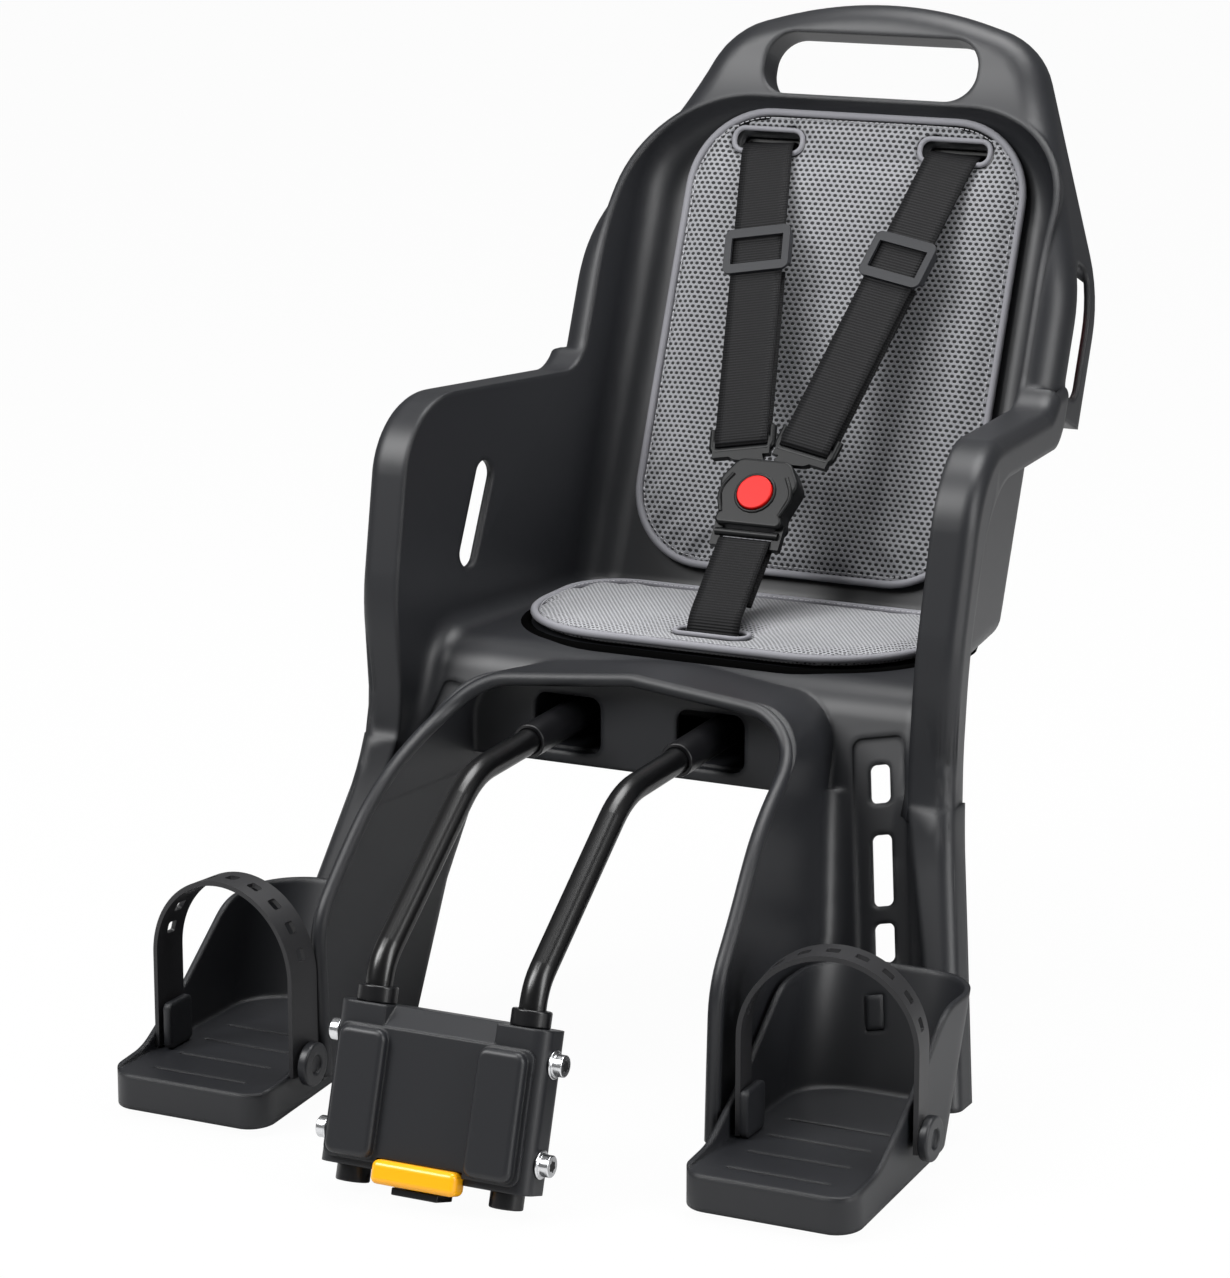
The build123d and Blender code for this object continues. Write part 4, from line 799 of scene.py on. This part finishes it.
# Nylon and acetal from the mould: satin, with soft highlights, the adjusters a shade lighter than the buckle.
buckle_black = moulded_plastic("satin_black_nylon", "#0e0f10", 0.38, shine=0.22)
adjuster_grey = moulded_plastic("satin_dark_grey_nylon", "#232427", 0.42, shine=0.3)
button_red = moulded_plastic("gloss_red_acetal", "#c4140f", 0.38, shine=0.2)
eased_copy("buckle_body", 0.0012, buckle_black)
eased_copy("buckle_button", 0.0008, button_red)
for hand in ("left", "right"):
    eased_copy("buckle_tongue_" + hand, 0.0008, buckle_black)
    eased_copy("strap_adjuster_" + hand, 0.0008, adjuster_grey, joined=False)
    eased_copy("strap_bar_" + hand, 0.0006, buckle_black)
eased_copy("crotch_bar", 0.0006, buckle_black)


def on_harness(x, up, ahead):
    """Point at the buckle: to the side, up the harness and out from it."""
    return harness_place + across * x + harness_up * up + harness_ahead * ahead


button_turns = [0.1 * pi * k for k in range(20)]
button_ring = [
    on_harness(button_ring_radius * cos(t), button_ring_radius * sin(t), buckle_front) for t in button_turns
]
tube_along("button_ring", button_ring, button_ring_thick, buckle_black)
crotch_loop = [on_harness(side * crotch_loop_half, crotch_loop_up, crotch_loop_ahead) for side in (-1, 1)]
tube_along("crotch_loop_bar", crotch_loop, crotch_loop_radius, buckle_black, closed=False)
for side, hand in hands:
    arm = [on_harness(side * p.x, p.y, buckle_arm_ahead) for p in rounded_line(buckle_arm_line)]
    tube_along("buckle_arm_" + hand, arm, buckle_arm_radius, buckle_black, closed=False)
    bar, slot, mouth, along, sideways = shoulder_run(side)
    fold_middle = bar - harness_ahead * fold_radius
    loop = [fold_middle + sideways * p.x + along * p.y for p in rounded_line(tongue_frame_line)]
    tube_along("tongue_frame_" + hand, loop, tongue_frame_radius, buckle_black, closed=False)

# Carrier bar: one steel rod bent to a loop under the pan, in gloss black paint, with plastic sleeves at the
# windows. Two saddles hold it under the pan, and collars and caps finish it at the block.
# The paint is smooth and black with a clear line of light; the sleeves are a little duller.
gloss_black = moulded_plastic("gloss_black_paint", "#060607", 0.28, depth=0.0, shine=0.5)
sleeve_black = moulded_plastic("satin_black_sleeve", "#0f0f11", 0.3)
bar_mesh = frame["nodes"]["carrier_bar"].data
bar_mesh.materials.clear()
bar_mesh.materials.append(gloss_black)
for hand in ("left", "right"):
    eased_copy("bar_sleeve_" + hand, 0.0008, sleeve_black)
    eased_copy("bar_collar_" + hand, 0.0012, sleeve_black)
    eased_copy("bar_cap_" + hand, 0.0012, sleeve_black)

# Mount block: two charcoal mouldings, with zinc-plated bolts through the sides, a yellow release bar and a dark
# tab. The block drops on to a rail of the black-painted clamp that stays on the seat tube.
# Size, lobes and lift of the flat dark discs of painted socket shade on the side bolts.
socket_radius = 0.0032
socket_wave = 0.13
socket_lift = 0.00006
# Nylon like the shell's plastic with tighter edges, and bright acetal that looks wet at its corners.
block_grey = moulded_plastic("moulded_charcoal_nylon", "#1c1d20", 0.4, edge=0.002)
release_yellow = moulded_plastic("gloss_yellow_acetal", "#f7ab06", 0.3, coat=0.2)
eased_copy("mount_block", 0.0018, block_grey)
eased_copy("front_cover", 0.0018, block_grey)
eased_copy("release_bar", 0.0014, release_yellow)
eased_copy("latch_tab", 0.0008, sleeve_black)
eased_copy("bar_saddle_front", 0.001, block_grey)
eased_copy("bar_saddle_rear", 0.001, block_grey)


def bare_metal(name, colour, roughness):
    """Plain metal with faint drawn-out marks in its gloss."""
    material = bpy.data.materials.new(name)
    material.use_nodes = True
    tree = material.node_tree
    tree.nodes.clear()
    place = add_node(tree, "ShaderNodeTexCoord").outputs["Object"]
    # The marks are drawn about 1.4 mm coarse, so that they show.
    marks = add_node(tree, "ShaderNodeTexNoise", {"Vector": place, "Scale": 700.0, "Detail": 2.0})
    gloss = add_node(
        tree,
        "ShaderNodeMapRange",
        {"Value": marks.outputs["Fac"], "To Min": 0.7 * roughness, "To Max": 1.3 * roughness},
    )
    surface = add_node(
        tree,
        "ShaderNodeBsdfPrincipled",
        {"Base Color": linear(colour), "Metallic": 1.0, "Roughness": gloss.outputs[0]},
    )
    add_node(tree, "ShaderNodeOutputMaterial", {"Surface": surface.outputs["BSDF"]})
    return material


# Zinc plate is bright with small sharp lights, spring steel greyer, and the painted casting dull and dark.
zinc = bare_metal("bright_zinc_plate", "#d6d7d9", 0.24)
spring_steel = bare_metal("oiled_spring_steel", "#8d9094", 0.3)
clamp_black = moulded_plastic("black_painted_casting", "#1a1a1c", 0.45)
eased_copy("side_bolts", 0.0008, zinc)
eased_copy("clamp_bolts", 0.0006, zinc)
# Painted shade of the drive sockets: a flat dark six-lobed disc laid just proud of each side bolt's head, where
# the socket's recess is in shade.
painted_socket_shade = moulded_plastic("painted_drive_socket_shade", "#08080a", 0.6)
bolt_points = [v.co for v in frame["nodes"]["side_bolts"].data.vertices]
bm = bmesh.new()
for side in (-1, 1):
    for upper in (False, True):
        own = [p for p in bolt_points if p.x * side > 0 and (p.z > 0) == upper]
        head_x = max(abs(p.x) for p in own)
        head = [p for p in own if abs(p.x) > head_x - 0.0001]
        centre = sum(head, Vector()) / len(head)
        facing = Matrix.Translation(centre) @ Matrix.Rotation(0.5 * pi, 4, "Y")
        star = bmesh.ops.create_circle(bm, cap_ends=True, segments=36, radius=socket_radius)["verts"]
        for vert in star:
            turn = atan2(vert.co.y, vert.co.x)
            vert.co *= 1 + socket_wave * cos(6 * turn)
            vert.co = facing @ vert.co + Vector((side * socket_lift, 0, 0))
bmesh.ops.recalc_face_normals(bm, faces=bm.faces)
new_piece("side_bolt_painted_socket_shades", bm, painted_socket_shade, "seat")
eased_copy("saddle_screws", 0.0005, zinc)
eased_copy("buckle_spring", 0.0, spring_steel)
eased_copy("release_spring", 0.0, spring_steel)
eased_copy("tube_saddle", 0.0012, clamp_black)
eased_copy("rear_jaw", 0.0012, clamp_black)

# Footrests: charcoal mouldings like the shell, each hooked into the slots of a leg guard, with a soft rubber
# strap that hangs on an anchor inside and is pressed on to a turning disc outside.
# The rubber is black and even, a little duller than the plastic.
strap_rubber = moulded_plastic("soft_black_rubber", "#1e1e20", 0.5)
for hand in ("left", "right"):
    eased_copy("footrest_" + hand, 0.0015, charcoal)
    eased_copy("footrest_hook_" + hand, 0.0006, charcoal)
    eased_copy("foot_strap_" + hand, 0.0006, strap_rubber)
    eased_copy("strap_disc_" + hand, 0.0008, block_grey)
    eased_copy("strap_anchor_" + hand, 0.001, charcoal)

# Side latches: red acetal levers in the windows of the back's side walls. Each is a small moulding pushed on to
# a zinc-plated pin, and its free end swings out of the window.
# The red is satin and even, the strongest colour beside the buckle's button.
latch_red = moulded_plastic("satin_red_acetal", "#e0221d", 0.35)
for hand in ("left", "right"):
    eased_copy("side_latch_" + hand, 0.001, latch_red)
    eased_copy("side_latch_pin_" + hand, 0.0004, zinc)

# Camera: it stands at the photograph's viewpoint, which was solved from points that the seat has on both sides.
camera_place = Vector((1.1142, -2.0695, 0.8534))
camera_azimuth = radians(26.257)
camera_elevation = radians(13.805)
camera_data = bpy.data.cameras.new("photo_camera")
camera_data.sensor_width = 36.0
camera_data.lens = 120.35
camera = bpy.data.objects.new("photo_camera", camera_data)
back = Vector(
    (
        sin(camera_azimuth) * cos(camera_elevation),
        -cos(camera_azimuth) * cos(camera_elevation),
        sin(camera_elevation),
    )
)
camera.matrix_world = Matrix.Translation(camera_place) @ back.to_track_quat("Z", "Y").to_matrix().to_4x4()
bpy.context.scene.collection.objects.link(camera)
bpy.context.scene.camera = camera

# Studio: a pale floor under the lowest piece, a white surround, three large soft lamps, and a strip in front
# that lights the bar and the edges.
low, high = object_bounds()
bm = bmesh.new()
bmesh.ops.create_grid(bm, x_segments=1, y_segments=1, size=12.0)
floor_mesh = bpy.data.meshes.new("studio_floor")
bm.to_mesh(floor_mesh)
bm.free()
floor = bpy.data.objects.new("studio_floor", floor_mesh)
floor.location = (0, 0, low.z - 0.002)
bpy.context.scene.collection.objects.link(floor)


def studio_white(name):
    """White paper: a plain matte surface that the camera sees as white."""
    material = bpy.data.materials.new(name)
    material.use_nodes = True
    tree = material.node_tree
    tree.nodes.clear()
    path = add_node(tree, "ShaderNodeLightPath")
    paper = add_node(tree, "ShaderNodeBsdfDiffuse", {"Color": (0.55, 0.55, 0.55, 1.0)})
    glow = add_node(tree, "ShaderNodeEmission", {"Color": (1.0, 1.0, 1.0, 1.0), "Strength": 1.0})
    mix = add_node(
        tree,
        "ShaderNodeMixShader",
        {0: 0.97, 1: paper.outputs["BSDF"], 2: glow.outputs["Emission"]},
    )
    choice = add_node(
        tree,
        "ShaderNodeMixShader",
        {0: path.outputs["Is Camera Ray"], 1: paper.outputs["BSDF"], 2: mix.outputs["Shader"]},
    )
    add_node(tree, "ShaderNodeOutputMaterial", {"Surface": choice.outputs["Shader"]})
    return material


floor_mesh.materials.append(studio_white("studio_paper"))

world = bpy.data.worlds.new("studio")
world.use_nodes = True
tree = world.node_tree
tree.nodes.clear()
path = add_node(tree, "ShaderNodeLightPath")
strength = add_node(
    tree, "ShaderNodeMapRange", {"Value": path.outputs["Is Camera Ray"], "To Min": 0.16, "To Max": 1.0}
)
sky = add_node(
    tree, "ShaderNodeBackground", {"Color": (1.0, 1.0, 1.0, 1.0), "Strength": strength.outputs["Result"]}
)
add_node(tree, "ShaderNodeOutputWorld", {"Surface": sky.outputs["Background"]})
bpy.context.scene.world = world


def soft_lamp(name, place, target, size, watts):
    """Rectangular soft box that faces a target."""
    lamp = bpy.data.lights.new(name, "AREA")
    lamp.shape = "RECTANGLE"
    lamp.size = size[0]
    lamp.size_y = size[1]
    lamp.energy = watts
    holder = bpy.data.objects.new(name, lamp)
    aim = Vector(place) - Vector(target)
    holder.matrix_world = Matrix.Translation(Vector(place)) @ aim.to_track_quat("Z", "Y").to_matrix().to_4x4()
    bpy.context.scene.collection.objects.link(holder)


middle = (low + high) / 2
soft_lamp("key_left", (-1.5, -1.3, 2.1), middle, (1.0, 1.4), 72.0)
soft_lamp("strip_front", (-0.45, -1.15, 2.1), middle, (0.3, 1.3), 16.0)
soft_lamp("fill_right", (2.1, -0.2, 1.0), middle, (0.8, 1.8), 40.0)
soft_lamp("top_soft", (0.1, 0.7, 2.4), middle, (1.6, 1.2), 56.0)

bpy.context.scene.view_settings.view_transform = "Standard"
